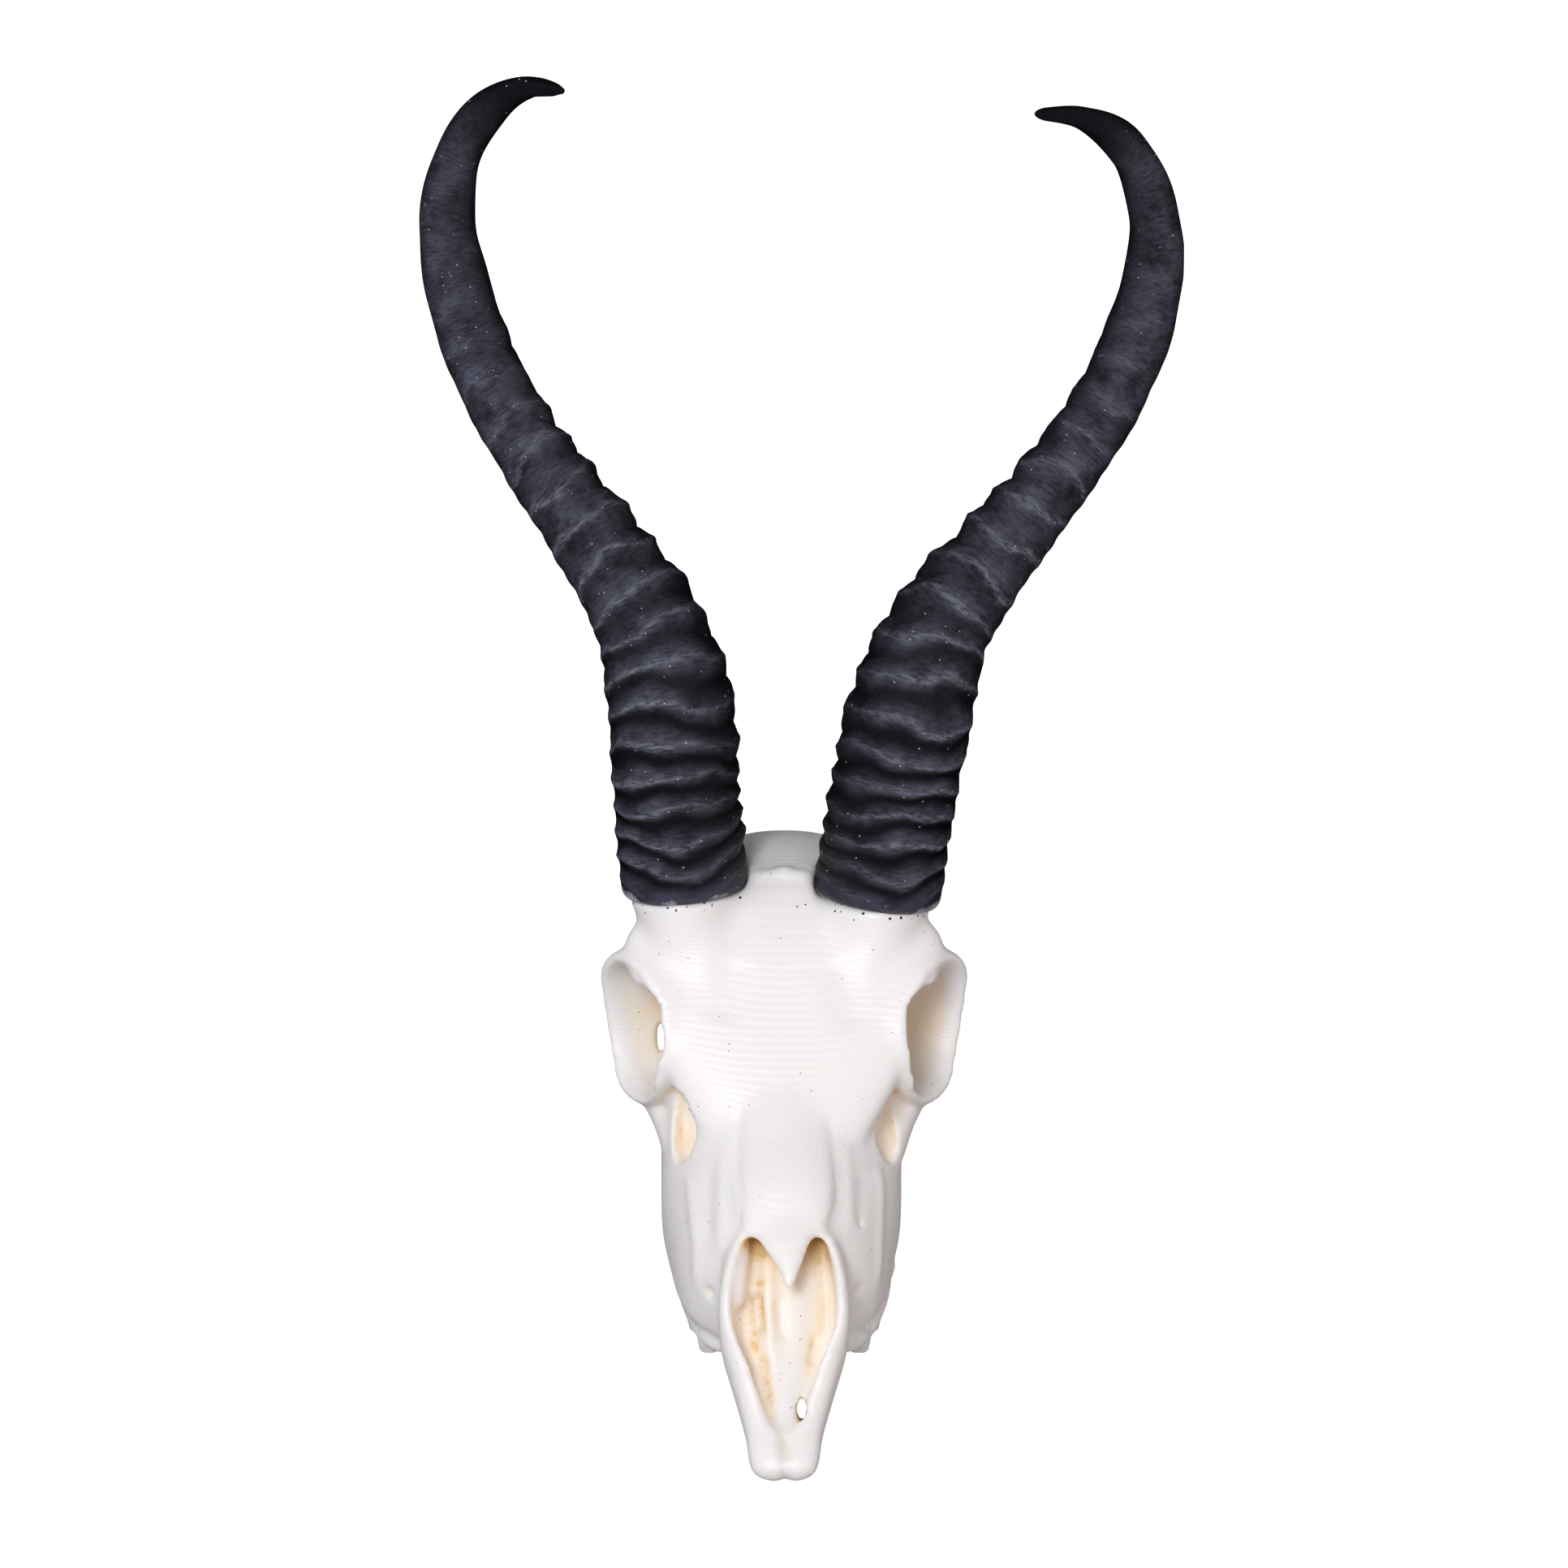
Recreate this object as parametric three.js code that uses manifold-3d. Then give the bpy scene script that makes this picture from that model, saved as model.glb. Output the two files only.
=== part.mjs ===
// A miniature springbok skull without its lower jaw, cast in ivory resin, with two ringed black horns.
// Millimetres, +Z up, muzzle towards -Y. It rests on its cheek teeth and on two points below the ears.
// While it is modelled, y = 0 is just before the snout, x = 0 the midline and z = 0 the table.
import * as THREE from "three";
import { mergeVertices } from "three/addons/utils/BufferGeometryUtils.js";
import Module from "manifold-3d";

const wasm = await Module();
wasm.setup();

// Driving dimensions.
const GAP = 0.3; // between pieces that touch
const SIDES = [-1, 1]; // -1 is the side of -X
const TOOTH_TOP = 2.7; // where the cheek teeth end below the bone
const ALVEOLUS = TOOTH_TOP + GAP; // lower face of the bone that carries the teeth
const LEAN = -0.25; // how far the cheeks sit to one side, as they were carved

const BONE_COLOUR = 0xf1ece4;
const TOOTH_COLOUR = 0xe9e2d6;
const HORN_COLOUR = 0x1b1b20;

const vector = (x, y, z) => new THREE.Vector3(x, y, z);
const sharpened = (value, power) => Math.sign(value) * Math.abs(value) ** power;
const smoothStep = THREE.MathUtils.smoothstep;

// A geometry as a solid, with its faces turned outwards.
function solidOf(geometry) {
  geometry.deleteAttribute("normal");
  geometry.deleteAttribute("uv");
  const merged = mergeVertices(geometry);
  const vertProperties = merged.attributes.position.array;
  const triVerts = new Uint32Array(merged.index.array);
  const made = new wasm.Manifold(new wasm.Mesh({ numProp: 3, vertProperties, triVerts }));
  if (made.volume() > 0) return made;
  for (let i = 0; i < triVerts.length; i += 3) {
    [triVerts[i + 1], triVerts[i + 2]] = [triVerts[i + 2], triVerts[i + 1]];
  }
  return new wasm.Manifold(new wasm.Mesh({ numProp: 3, vertProperties, triVerts }));
}

// The grid of a sphere, moved by place(turn, along): a share of a turn, and of the way from pole to pole.
function closedBody(place, around, along) {
  const sphere = new THREE.SphereGeometry(1, around, along);
  const points = sphere.attributes.position;
  for (let i = 0; i < points.count; i++) {
    const row = Math.floor(i / (around + 1));
    const column = i % (around + 1);
    const p = place((column % around) / around, row / along);
    points.setXYZ(i, p.x, p.y, p.z);
  }
  return solidOf(sphere);
}

const join = (...solids) => wasm.Manifold.union(solids.flat());

// A loft along Y. A station is [y, half width, height of the widest place, top, bottom, upper power,
// lower power]: a power of 2 rounds that half of the section as an ellipse does, a higher one squares it.
function loft(stations, around, along, middle = 0) {
  const size = stations[0].length - 1;
  const track = new THREE.CubicInterpolant(
    stations.map((s) => s[0]),
    stations.flatMap((s) => s.slice(1)),
    size,
  );
  const first = stations[0][0];
  const last = stations[stations.length - 1][0];
  return closedBody((turn, share) => {
    const inside = Math.min(Math.max((share * along - 1) / (along - 2), 0), 1);
    const y = first + (last - first) * inside;
    const [width, widest, top, bottom, upper, lower] = track.evaluate(y);
    if (share === 0 || share === 1) return vector(middle, y, widest);
    const angle = turn * 2 * Math.PI;
    const s = Math.sin(angle);
    const power = 2 / (s > 0 ? upper : lower);
    const rise = s > 0 ? top - widest : widest - bottom;
    return vector(
      middle + width * sharpened(Math.cos(angle), power), y, widest + rise * sharpened(s, power),
    );
  }, around, along);
}

// A body along a curve. size(share) gives its two half axes: the first lies towards the direction "side".
// blunt 0 ends it flat, 0.5 about round and 1 as an ellipsoid.
function sweep(points, size, { side = vector(1, 0, 0), blunt = 0.5, around = 12, along = 10 } = {}) {
  const curve = new THREE.CatmullRomCurve3(points.map((p) => vector(...p)), false, "centripetal");
  return closedBody((turn, share) => {
    const flat = Math.min(Math.max((share * along - 1) / (along - 2), 0), 1);
    const t = blunt ? (1 - Math.cos(Math.PI * share)) / 2 : flat;
    const centre = curve.getPoint(t);
    if (share === 0 || share === 1) return centre;
    const tangent = curve.getTangent(t);
    const a = side.clone().addScaledVector(tangent, -side.dot(tangent)).normalize();
    const b = tangent.clone().cross(a);
    const [wide, deep] = size(t);
    const end = blunt ? Math.sin(Math.PI * share) ** blunt : 1;
    const angle = turn * 2 * Math.PI;
    return centre
      .addScaledVector(a, wide * end * Math.cos(angle))
      .addScaledVector(b, deep * end * Math.sin(angle));
  }, around, along);
}

// An ellipsoid, turned about Z by "yaw" and then about X by "pitch" degrees.
function ellipsoid(centre, half, { yaw = 0, pitch = 0, around = 14, along = 8 } = {}) {
  const turn = new THREE.Euler(
    THREE.MathUtils.degToRad(pitch), 0, THREE.MathUtils.degToRad(yaw), "ZXY",
  );
  return closedBody((share, down) => {
    const ring = Math.sin(Math.PI * down);
    const angle = share * 2 * Math.PI;
    return vector(
      half[0] * ring * Math.cos(angle),
      half[1] * ring * Math.sin(angle),
      half[2] * Math.cos(Math.PI * down),
    ).applyEuler(turn).add(vector(...centre));
  }, around, along);
}

// A band round a closed loop of points: depth(share) is its half width along "axis", and wall half its
// thickness.
function band(points, axis, depth, wall, around, along) {
  const curve = new THREE.CatmullRomCurve3(points.map((p) => vector(...p)), true, "centripetal");
  const torus = new THREE.TorusGeometry(1, 0.3, around, along);
  const place = torus.attributes.position;
  for (let i = 0; i < place.count; i++) {
    const column = i % (along + 1);
    const row = Math.floor(i / (along + 1));
    const t = (column % along) / along;
    const angle = ((row % around) / around) * 2 * Math.PI;
    const across = curve.getTangent(t).cross(axis).normalize();
    const p = curve.getPoint(t)
      .addScaledVector(axis, depth(t) * sharpened(Math.cos(angle), 0.8))
      .addScaledVector(across, wall * sharpened(Math.sin(angle), 0.8));
    place.setXYZ(i, p.x, p.y, p.z);
  }
  return solidOf(torus);
}

function box(low, high) {
  const size = high.map((value, i) => value - low[i]);
  const geometry = new THREE.BoxGeometry(...size);
  geometry.translate(...high.map((value, i) => (value + low[i]) / 2));
  return solidOf(geometry);
}

// The upper jaw's cheeks, from the gap behind the snout back to below the brain.
function cheeks() {
  return loft([
    [13.5, 4.4, 8.0, 12.6, 3.2, 2.4, 3.0],
    [17.0, 5.4, 7.5, 14.9, 3.0, 2.1, 4.0],
    [20.0, 8.1, 6.6, 16.5, 2.7, 1.95, 5.0],
    [22.5, 9.2, 6.4, 17.8, 2.6, 1.95, 6.0],
    [26.0, 10.0, 6.8, 19.5, 2.6, 1.95, 6.0],
    [30.0, 10.7, 7.6, 21.1, 2.6, 2.05, 6.0],
    [33.0, 10.8, 8.4, 22.4, 2.6, 2.3, 5.0],
    [37.0, 10.7, 9.2, 24.2, 2.6, 2.5, 5.0],
    [41.0, 9.2, 9.6, 25.6, 3.2, 2.2, 4.0],
    [45.0, 6.2, 10.0, 25.4, 4.4, 2.0, 2.4],
    [49.0, 3.6, 10.5, 22.0, 5.6, 2.0, 2.0],
  ], 24, 20, LEAN);
}

// The two prongs of the snout and the wall of the nose, before they are hollowed.
function snout() {
  return loft([
    [1.3, 1.8, 3.3, 4.3, 2.6, 2.4, 2.4],
    [1.9, 2.7, 3.4, 4.7, 2.2, 2.6, 2.6],
    [3.2, 3.1, 3.6, 5.1, 1.9, 3.0, 3.0],
    [5.5, 3.35, 4.0, 5.9, 1.8, 3.4, 3.2],
    [8.0, 4.0, 5.2, 7.5, 2.0, 3.6, 3.0],
    [10.0, 4.75, 7.0, 9.8, 2.2, 4.0, 2.6],
    [12.0, 5.6, 9.5, 12.4, 2.3, 4.0, 2.3],
    [14.0, 5.8, 11.0, 14.0, 2.5, 4.0, 2.2],
    [17.0, 5.5, 11.5, 15.6, 2.7, 3.4, 2.3],
    [20.0, 5.2, 11.0, 16.4, 3.0, 2.6, 2.4],
    [23.0, 4.6, 10.0, 16.6, 3.4, 2.4, 2.4],
  ], 22, 18);
}

// The hollow of the nose: open above in front, and running back under the nasal bones.
function noseHollow() {
  return loft([
    [4.6, 0.6, 6.2, 8.0, 4.8, 3.0, 2.0],
    [6.0, 1.5, 6.4, 9.4, 4.5, 3.0, 2.4],
    [8.0, 2.2, 7.4, 11.6, 4.4, 3.0, 2.6],
    [10.0, 3.2, 8.8, 14.0, 4.5, 3.4, 2.6],
    [12.2, 4.5, 11.0, 17.5, 4.8, 4.0, 2.6],
    [15.5, 4.5, 12.0, 19.0, 5.2, 4.0, 2.4],
    [18.0, 4.1, 11.5, 17.0, 5.6, 3.6, 2.4],
    [21.0, 3.8, 11.5, 15.0, 6.4, 2.6, 2.2],
    [25.0, 3.0, 12.0, 15.4, 8.0, 2.2, 2.0],
    [28.0, 1.2, 12.6, 14.4, 10.6, 2.0, 2.0],
  ], 18, 15);
}

// The nasal bones: a vault along the midline that ends in a free point over the nose.
function nasals() {
  const tongue = sweep(
    [[0.45, 13.6, 13.8], [0.45, 16.0, 14.7], [0.2, 18.2, 15.5], [0, 21.5, 16.6]],
    (t) => [0.7 + 3.3 * t ** 1.6, 0.6 + 0.4 * t],
    { around: 12, along: 9 },
  );
  const vault = sweep(
    [[0, 18.4, 15.4], [0, 22.5, 16.7], [0, 29, 17.9], [0, 36, 20.6], [0, 42, 23.2]],
    (t) => [4.2 + 1.6 * t, 1.0 + 1.5 * smoothStep(t, 0, 0.5)],
    { blunt: 0.25, around: 14, along: 10 },
  );
  return join(tongue, vault);
}

// The forehead, with the brow over both eyes.
function forehead() {
  return loft([
    [27.0, 5.6, 15.4, 18.6, 12.0, 2.0, 2.0],
    [30.0, 7.8, 18.4, 20.7, 14.0, 2.2, 2.0],
    [33.0, 9.8, 20.4, 22.7, 15.0, 2.6, 2.0],
    [36.0, 11.6, 22.6, 24.6, 16.0, 2.8, 2.2],
    [39.0, 12.8, 24.4, 26.5, 18.0, 2.8, 2.4],
    [42.0, 13.8, 26.0, 28.4, 20.0, 2.6, 2.4],
    [45.0, 14.3, 26.6, 30.0, 20.0, 2.4, 2.4],
    [47.5, 12.8, 26.2, 31.0, 18.0, 2.4, 2.2],
    [50.0, 10.8, 24.6, 31.3, 17.0, 2.4, 2.0],
    [53.0, 9.0, 22.0, 30.3, 15.0, 2.2, 2.0],
  ], 24, 16);
}

function braincase() {
  return loft([
    [44.0, 5.4, 18.0, 28.0, 9.5, 2.0, 2.0],
    [47.5, 8.6, 18.8, 30.6, 8.0, 2.1, 2.0],
    [51.5, 10.0, 18.6, 31.0, 7.0, 2.1, 2.0],
    [55.5, 10.4, 18.2, 29.9, 6.6, 2.1, 2.1],
    [59.0, 10.1, 17.2, 27.9, 6.4, 2.2, 2.2],
    [62.0, 9.7, 16.0, 25.4, 6.4, 2.3, 2.3],
    [64.4, 8.6, 14.8, 22.2, 7.0, 2.3, 2.2],
    [65.8, 6.0, 13.6, 18.6, 8.0, 2.2, 2.0],
    [66.2, 3.6, 13.2, 16.4, 9.6, 2.0, 2.0],
  ], 22, 12);
}

// The rim of an eye socket, as [x, y, z] for the +X side, from its top round by the back.
const SOCKET_RIM = [
  [13.2, 41.2, 27.0], [15.0, 43.8, 26.0], [16.4, 45.5, 22.9], [16.2, 45.3, 19.2],
  [15.6, 43.4, 15.8], [14.8, 40.2, 14.0], [12.8, 36.4, 15.4], [11.6, 34.2, 19.2],
  [11.2, 35.0, 22.8], [11.3, 37.6, 25.4],
];
const SOCKET_AXIS = vector(0.9, -0.36, 0.05).normalize(); // out of the socket
const RIM_WALL = 0.75; // half the thickness of the rim

const across = (side, p) => [p[0] * side, p[1], p[2]];
const mirrored = (side, points) => points.map((p) => across(side, p));

function socketRim(side) {
  const axis = SOCKET_AXIS.clone();
  axis.x *= side;
  // The band is deepest at the back, where the bar behind the eye shows its inner face.
  const depth = (t) => 1.1 + 2.3 * Math.max(0, Math.sin(Math.PI * (t * 1.45 + 0.02)));
  const loop = SOCKET_RIM.map((p, i) => {
    const inset = depth(i / SOCKET_RIM.length) - 0.2;
    return vector(...across(side, p)).addScaledVector(axis, -inset).toArray();
  });
  return band(loop, axis, depth, RIM_WALL, 8, 22);
}

const socketHollow = (side) => ellipsoid(
  [10.6 * side, 40.3, 20.2], [6.8, 5.4, 5.7], { yaw: -20 * side, pitch: -12, around: 20, along: 12 },
);

// The pit in front of the eye, beside the nasal bones.
const sidePit = (side) => sweep(
  mirrored(side, [[8.8, 34.0, 19.3], [8.85, 32.3, 17.5], [8.9, 30.2, 15.7]]),
  () => [1.4, 1.25],
  { blunt: 0.8, around: 14, along: 10 },
);

// The bar from the socket back to the side of the braincase, and its root in the cheek.
function cheekbone(side) {
  const bar = sweep(
    mirrored(side, [[13.9, 41.0, 14.2], [14.4, 45.5, 14.8], [13.6, 51.0, 14.8], [10.6, 56.5, 13.4]]),
    (t) => [0.8, 1.3 + 0.5 * t],
    { blunt: 0.4, around: 8, along: 8 },
  );
  const root = sweep(
    mirrored(side, [[9.2, 31.5, 12.0], [10.4, 36.0, 13.2], [13.0, 40.6, 14.6]]),
    (t) => [1.5 - 0.3 * t, 2.4 - 1.0 * t],
    { blunt: 0.4, around: 10, along: 7 },
  );
  return [bar, root];
}

// Horn cores: short pedicles that end flat below each horn.
const HORN_BASE = { "-1": vector(-9.0, 48.3, 29.9), "1": vector(8.35, 48.0, 29.3) };
const HORN_ROOM = [6.4, 6.9]; // half width and depth of what a horn takes up above its pedicle
const HORN_AXIS = { "-1": vector(-0.06, 0.47, 0.88), "1": vector(0.07, 0.47, 0.88) };

function pedicle(side) {
  const top = HORN_BASE[side].clone();
  const axis = HORN_AXIS[side].clone().normalize();
  const foot = top.clone().addScaledVector(axis, -7.5);
  foot.x -= 0.8 * side;
  return sweep(
    [foot.toArray(), top.clone().addScaledVector(axis, -3).toArray(), top.toArray()],
    (t) => [4.2 + 0.9 * t ** 4, 5.3 + 0.2 * t],
    { blunt: 0, around: 16, along: 6 },
  );
}

// What stands round the base of the skull: joints of the neck, ear capsules, ear tubes, the wings
// beside the throat, points below the ears and the ridge that the neck pulls on.
function skullBase(side) {
  const grid = { around: 12, along: 7 };
  const condyle = ellipsoid([3.3 * side, 65.2, 8.8], [2.1, 2.6, 3.0], { yaw: 18 * side, ...grid });
  const capsule = ellipsoid([6.0 * side, 56.8, 6.4], [2.5, 3.7, 3.8], { yaw: 12 * side, ...grid });
  const earTube = sweep(
    mirrored(side, [[7.0, 57.4, 9.6], [11.0, 58.6, 12.6]]),
    () => [1.4, 1.4],
    { side: vector(0, 1, 0), around: 8, along: 5 },
  );
  const point = sweep(
    mirrored(side, [[7.2, 62.6, 11.0], [7.9, 62.8, 5.0], [7.6, 62.0, -0.4]]),
    (t) => [2.0 - 0.9 * t, 2.2 - 1.0 * t],
    { blunt: 0.3, around: 8, along: 7 },
  );
  const wing = sweep(
    mirrored(side, [[3.4, 37.0, 6.0], [3.3, 44.0, 6.6], [3.1, 52.0, 8.4]]),
    (t) => [0.7, 3.6 - 1.6 * t],
    { blunt: 0.3, around: 8, along: 6 },
  );
  const neckRidge = sweep(
    mirrored(side, [[0, 64.9, 21.4], [4.6, 64.5, 20.2], [8.4, 63.0, 16.2], [9.0, 61.4, 12.0]]),
    () => [0.9, 0.9],
    { blunt: 0.4, around: 6, along: 8 },
  );
  return [condyle, capsule, earTube, point, wing, neckRidge];
}

// The slots through the palate behind the prongs, which come forward as they rise:
// [x, half width, half length].
const SLOTS = [[-1.2, 0.36, 0.6], [1.6, 0.42, 0.9]];

function skullSolid() {
  const base = sweep(
    [[0, 48, 8.4], [0, 57, 7.0], [0, 65, 7.4]],
    () => [2.8, 2.0],
    { blunt: 0.3, along: 6 },
  );
  // The nose was cast nearly full: a broad floor rises to the back, with a leaning ridge on it.
  const noseFloor = sweep(
    [
      [0.2, 4.6, 4.2], [0.2, 8, 4.7], [0.1, 11.5, 5.9],
      [0, 15, 8.3], [0, 18.5, 11.2], [0, 26, 13.6],
    ],
    (t) => [1.5 + 2.8 * smoothStep(t, 0.1, 0.5), 1.0 + 0.4 * t],
    { around: 10, along: 10 },
  );
  const noseRidge = sweep(
    [[-0.9, 10.5, 5.8], [-1.2, 13.5, 7.9], [-1.4, 16.5, 10.6], [-1.4, 20, 12.8]],
    (t) => [0.75, 0.9 + 0.4 * t],
    { around: 8, along: 8 },
  );
  const palate = sweep(
    [[0, 14.5, 2.4], [0, 21, 2.8], [0, 30, 3.0], [0, 42, 3.2]],
    (t) => [3.2 + 2.2 * smoothStep(t, 0, 0.35), 1.7 + 0.5 * t],
    { blunt: 0.4, around: 12, along: 8 },
  );
  const throat = sweep(
    [[0, 37.5, 6.0], [0, 47, 7.0]],
    () => [2.6, 2.6],
    { blunt: 0.6, around: 10, along: 6 },
  );
  const spineHole = ellipsoid([0, 66.2, 11.8], [2.3, 3.4, 2.1], { around: 12, along: 7 });
  const tipCleft = sweep(
    [[0.1, 0.4, 2.6], [0.1, 2.0, 3.0]],
    () => [0.42, 3.4],
    { blunt: 0.4, around: 8, along: 5 },
  );
  const tipGroove = sweep(
    [[0.1, 0.9, 4.7], [0.1, 3.0, 5.3], [0.1, 5.4, 6.0]],
    () => [0.5, 0.6],
    { blunt: 0.4, around: 8, along: 5 },
  );
  const slots = SLOTS.map(([x, wide, long]) => sweep(
    [[x, 4.85, 6.5], [x, 13.2, -0.5]],
    () => [wide, long],
    { blunt: 0, around: 10, along: 5 },
  ));
  const toothBed = SIDES.map((side) => box(
    [side < 0 ? -12.5 : 5.0, 19.2, -2], [side < 0 ? -5.0 : 12.5, 43.5, ALVEOLUS],
  ));
  const face = join(cheeks(), snout(), forehead(), SIDES.flatMap((side) => cheekbone(side)))
    .subtract(join(noseHollow(), SIDES.map(sidePit)));
  const back = [braincase(), base, ...SIDES.flatMap((side) => [pedicle(side), ...skullBase(side)])];
  const hollowed = join(face, back, nasals(), noseFloor, noseRidge)
    .subtract(join(palate, throat, spineHole, tipCleft, tipGroove, slots, toothBed))
    .subtract(join(SIDES.map(socketHollow)))
    .add(join(SIDES.map(socketRim)));
  const floor = box([-40, -5, -10], [40, 80, 0]);
  const clearance = SIDES.map((side) => {
    const foot = HORN_LINE[side].slice(0, 4);
    const room = sweep(foot, () => HORN_ROOM, { blunt: 0, around: 20, along: 6 });
    return above(room, side, 0);
  });
  return largest(hollowed.subtract(join(floor, clearance)));
}

// What lies beyond the top of a pedicle, and "lift" further on.
function above(solid, side, lift) {
  const axis = HORN_AXIS[side].clone().normalize();
  return solid.trimByPlane(axis.toArray(), HORN_BASE[side].dot(axis) + lift);
}

function largest(solid) {
  return solid.decompose().sort((a, b) => b.volume() - a.volume())[0];
}

// Cheek teeth, front to back: [y of the middle, x of the middle, length along the row, width].
const TEETH = [
  [20.9, 6.7, 2.5, 2.4], [23.7, 7.6, 2.9, 2.5], [26.9, 8.3, 3.2, 2.7],
  [30.5, 8.75, 3.7, 2.9], [34.5, 8.9, 3.9, 3.0], [38.6, 8.7, 3.9, 2.8],
];

// A row of teeth. Each has two lobes on its outer side, and all share one flat chewing level.
function toothRow(side) {
  const rings = 3;
  const crowns = TEETH.map(([y, x, length, width]) => closedBody((turn, share) => {
    const angle = turn * 2 * Math.PI;
    const level = Math.min(Math.max(share * (rings + 1) - 1, 0), rings - 1) / (rings - 1);
    if (share === 0 || share === 1) return vector(x * side, y, TOOTH_TOP * (1 - level));
    const taper = 1 - 0.1 * level;
    const out = sharpened(Math.cos(angle), 0.6);
    const forward = sharpened(Math.sin(angle), 0.6);
    const groove = 0.35 * Math.exp(-((forward / 0.4) ** 2)) * Math.abs(out);
    return vector(
      (x + (width / 2 * out - groove * Math.sign(out)) * taper) * side,
      y + (length / 2 + 0.06) * forward * taper,
      TOOTH_TOP * (1 - level),
    );
  }, 16, rings + 1));
  const neck = sweep(
    TEETH.map(([y, x]) => [x * side, y, 1.7]),
    (t) => [0.7 + 0.3 * t, 0.95],
    { blunt: 0.3, around: 6, along: 8 },
  );
  return largest(join(crowns, neck));
}

// A horn's middle line as [x, y, z] from just below its base to its tip, and its half widths there.
const HORN_LINE = {
  "-1": [
    [-8.7, 47.7, 28.4], [-9.6, 52.7, 37.6], [-10.2, 57.3, 45.1], [-12.4, 62.7, 50.0], [-17.1, 68.2, 54.9],
    [-22.3, 74.1, 59.4], [-26.5, 79.7, 64.0], [-29.2, 84.8, 69.4], [-30.3, 88.8, 75.5], [-29.0, 91.2, 81.0],
    [-26.3, 92.2, 84.7], [-23.0, 92.0, 87.0], [-19.5, 90.6, 87.6],
  ],
  "1": [
    [8.1, 47.6, 28.0], [9.7, 52.6, 37.4], [11.3, 56.8, 44.2], [13.7, 62.0, 48.9], [18.3, 67.0, 53.0],
    [23.8, 72.4, 57.3], [28.8, 77.9, 62.0], [32.2, 83.2, 67.4], [33.5, 87.2, 73.2], [32.4, 89.6, 78.6],
    [30.1, 90.6, 82.3], [26.6, 90.6, 84.7], [22.3, 90.0, 85.6],
  ],
};
const HORN_HALF_WIDTH = [5.7, 5.6, 5.6, 4.75, 3.95, 3.4, 3.15, 3.0, 2.5, 2.05, 1.75, 1.1, 0.4];
const RINGS = 20;
const RING_PITCH = [2.3, 4.0]; // near the base, and from the middle on
const RING_HEIGHT = [0.5, 0.85]; // on the inner side, likewise
const LAST_FULL_RING = 12; // the rings above it fade away
const TIP_ROWS = 8; // of the net, on the smooth end of a horn
const LEVEL_OF_RING = 0.6; // the share of a ring that lies above the horn's mean width

// Arc lengths of the valleys between a horn's rings.
function ringValleys() {
  const valleys = [0];
  for (let i = 0; i < RINGS; i++) {
    const share = smoothStep(i, 3, 12);
    valleys.push(valleys[i] + RING_PITCH[0] + (RING_PITCH[1] - RING_PITCH[0]) * share);
  }
  return valleys;
}

function horn(side) {
  const line = HORN_LINE[side].map((p) => vector(...p));
  const curve = new THREE.CatmullRomCurve3(line, false, "centripetal");
  const length = curve.getLength();
  const valleys = ringValleys();
  const ringed = valleys[RINGS];
  // Rows: each valley, the crest of each ring, and even steps on the smooth tip.
  const levels = [];
  valleys.slice(0, -1).forEach((start, i) => {
    const pitch = valleys[i + 1] - start;
    levels.push(start, start + pitch * 0.5);
  });
  for (let i = 0; i <= TIP_ROWS; i++) {
    const share = Math.sin((i / TIP_ROWS) * Math.PI / 2);
    levels.push(ringed + (length - ringed) * share);
  }
  const widths = new THREE.CubicInterpolant(
    HORN_HALF_WIDTH.map((_, i) => i / (HORN_HALF_WIDTH.length - 1)), HORN_HALF_WIDTH, 1,
  );
  const inward = vector(-side, -0.35, 0.0).normalize();
  const rows = levels.length;
  const whole = closedBody((turn, share) => {
    const row = Math.round(share * (rows + 1));
    const level = levels[Math.min(Math.max(row - 1, 0), rows - 1)];
    const t = Math.min(level / length, 1);
    const centre = curve.getPointAt(t);
    if (row === 0 || row === rows + 1) return centre;
    const tangent = curve.getTangentAt(t);
    const a = inward.clone().addScaledVector(tangent, -inward.dot(tangent)).normalize();
    const b = tangent.clone().cross(a);
    const angle = turn * 2 * Math.PI;
    // The widths are listed at the line's own points, so they are read at the curve's own parameter.
    const width = widths.evaluate(curve.getUtoTmapping(t))[0];
    const ring = valleys.findIndex((v, i) => level >= v && level < valleys[i + 1]);
    let bump = 0;
    if (ring >= 0) {
      const phase = (level - valleys[ring]) / (valleys[ring + 1] - valleys[ring]);
      const high = smoothStep(ring, 8, LAST_FULL_RING);
      const fade = 1 - smoothStep(ring, LAST_FULL_RING, RINGS);
      const facing = 0.5 + 0.5 * Math.cos(angle);
      const height = RING_HEIGHT[0] + (RING_HEIGHT[1] - RING_HEIGHT[0]) * high;
      const allRound = 0.35 * (1 - high);
      const crest = Math.sin(Math.PI * phase) ** 0.7 - LEVEL_OF_RING;
      bump = height * fade * crest * (allRound + (1 - allRound) * facing ** 1.5);
    }
    const radius = row === rows ? width * 0.35 : width + bump;
    const deeper = 1 + 0.1 * (1 - t);
    return centre
      .addScaledVector(a, radius * Math.cos(angle))
      .addScaledVector(b, radius * deeper * Math.sin(angle));
  }, 14, rows + 1);
  return above(whole, side, GAP);
}

function geometryOf(solid) {
  const mesh = solid.getMesh();
  const geometry = new THREE.BufferGeometry();
  geometry.setAttribute("position", new THREE.BufferAttribute(mesh.vertProperties, 3));
  geometry.setIndex(new THREE.BufferAttribute(mesh.triVerts, 1));
  geometry.computeVertexNormals();
  return geometry;
}

function node(name, solid, material) {
  const mesh = new THREE.Mesh(geometryOf(solid), material);
  mesh.name = name;
  return mesh;
}

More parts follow.
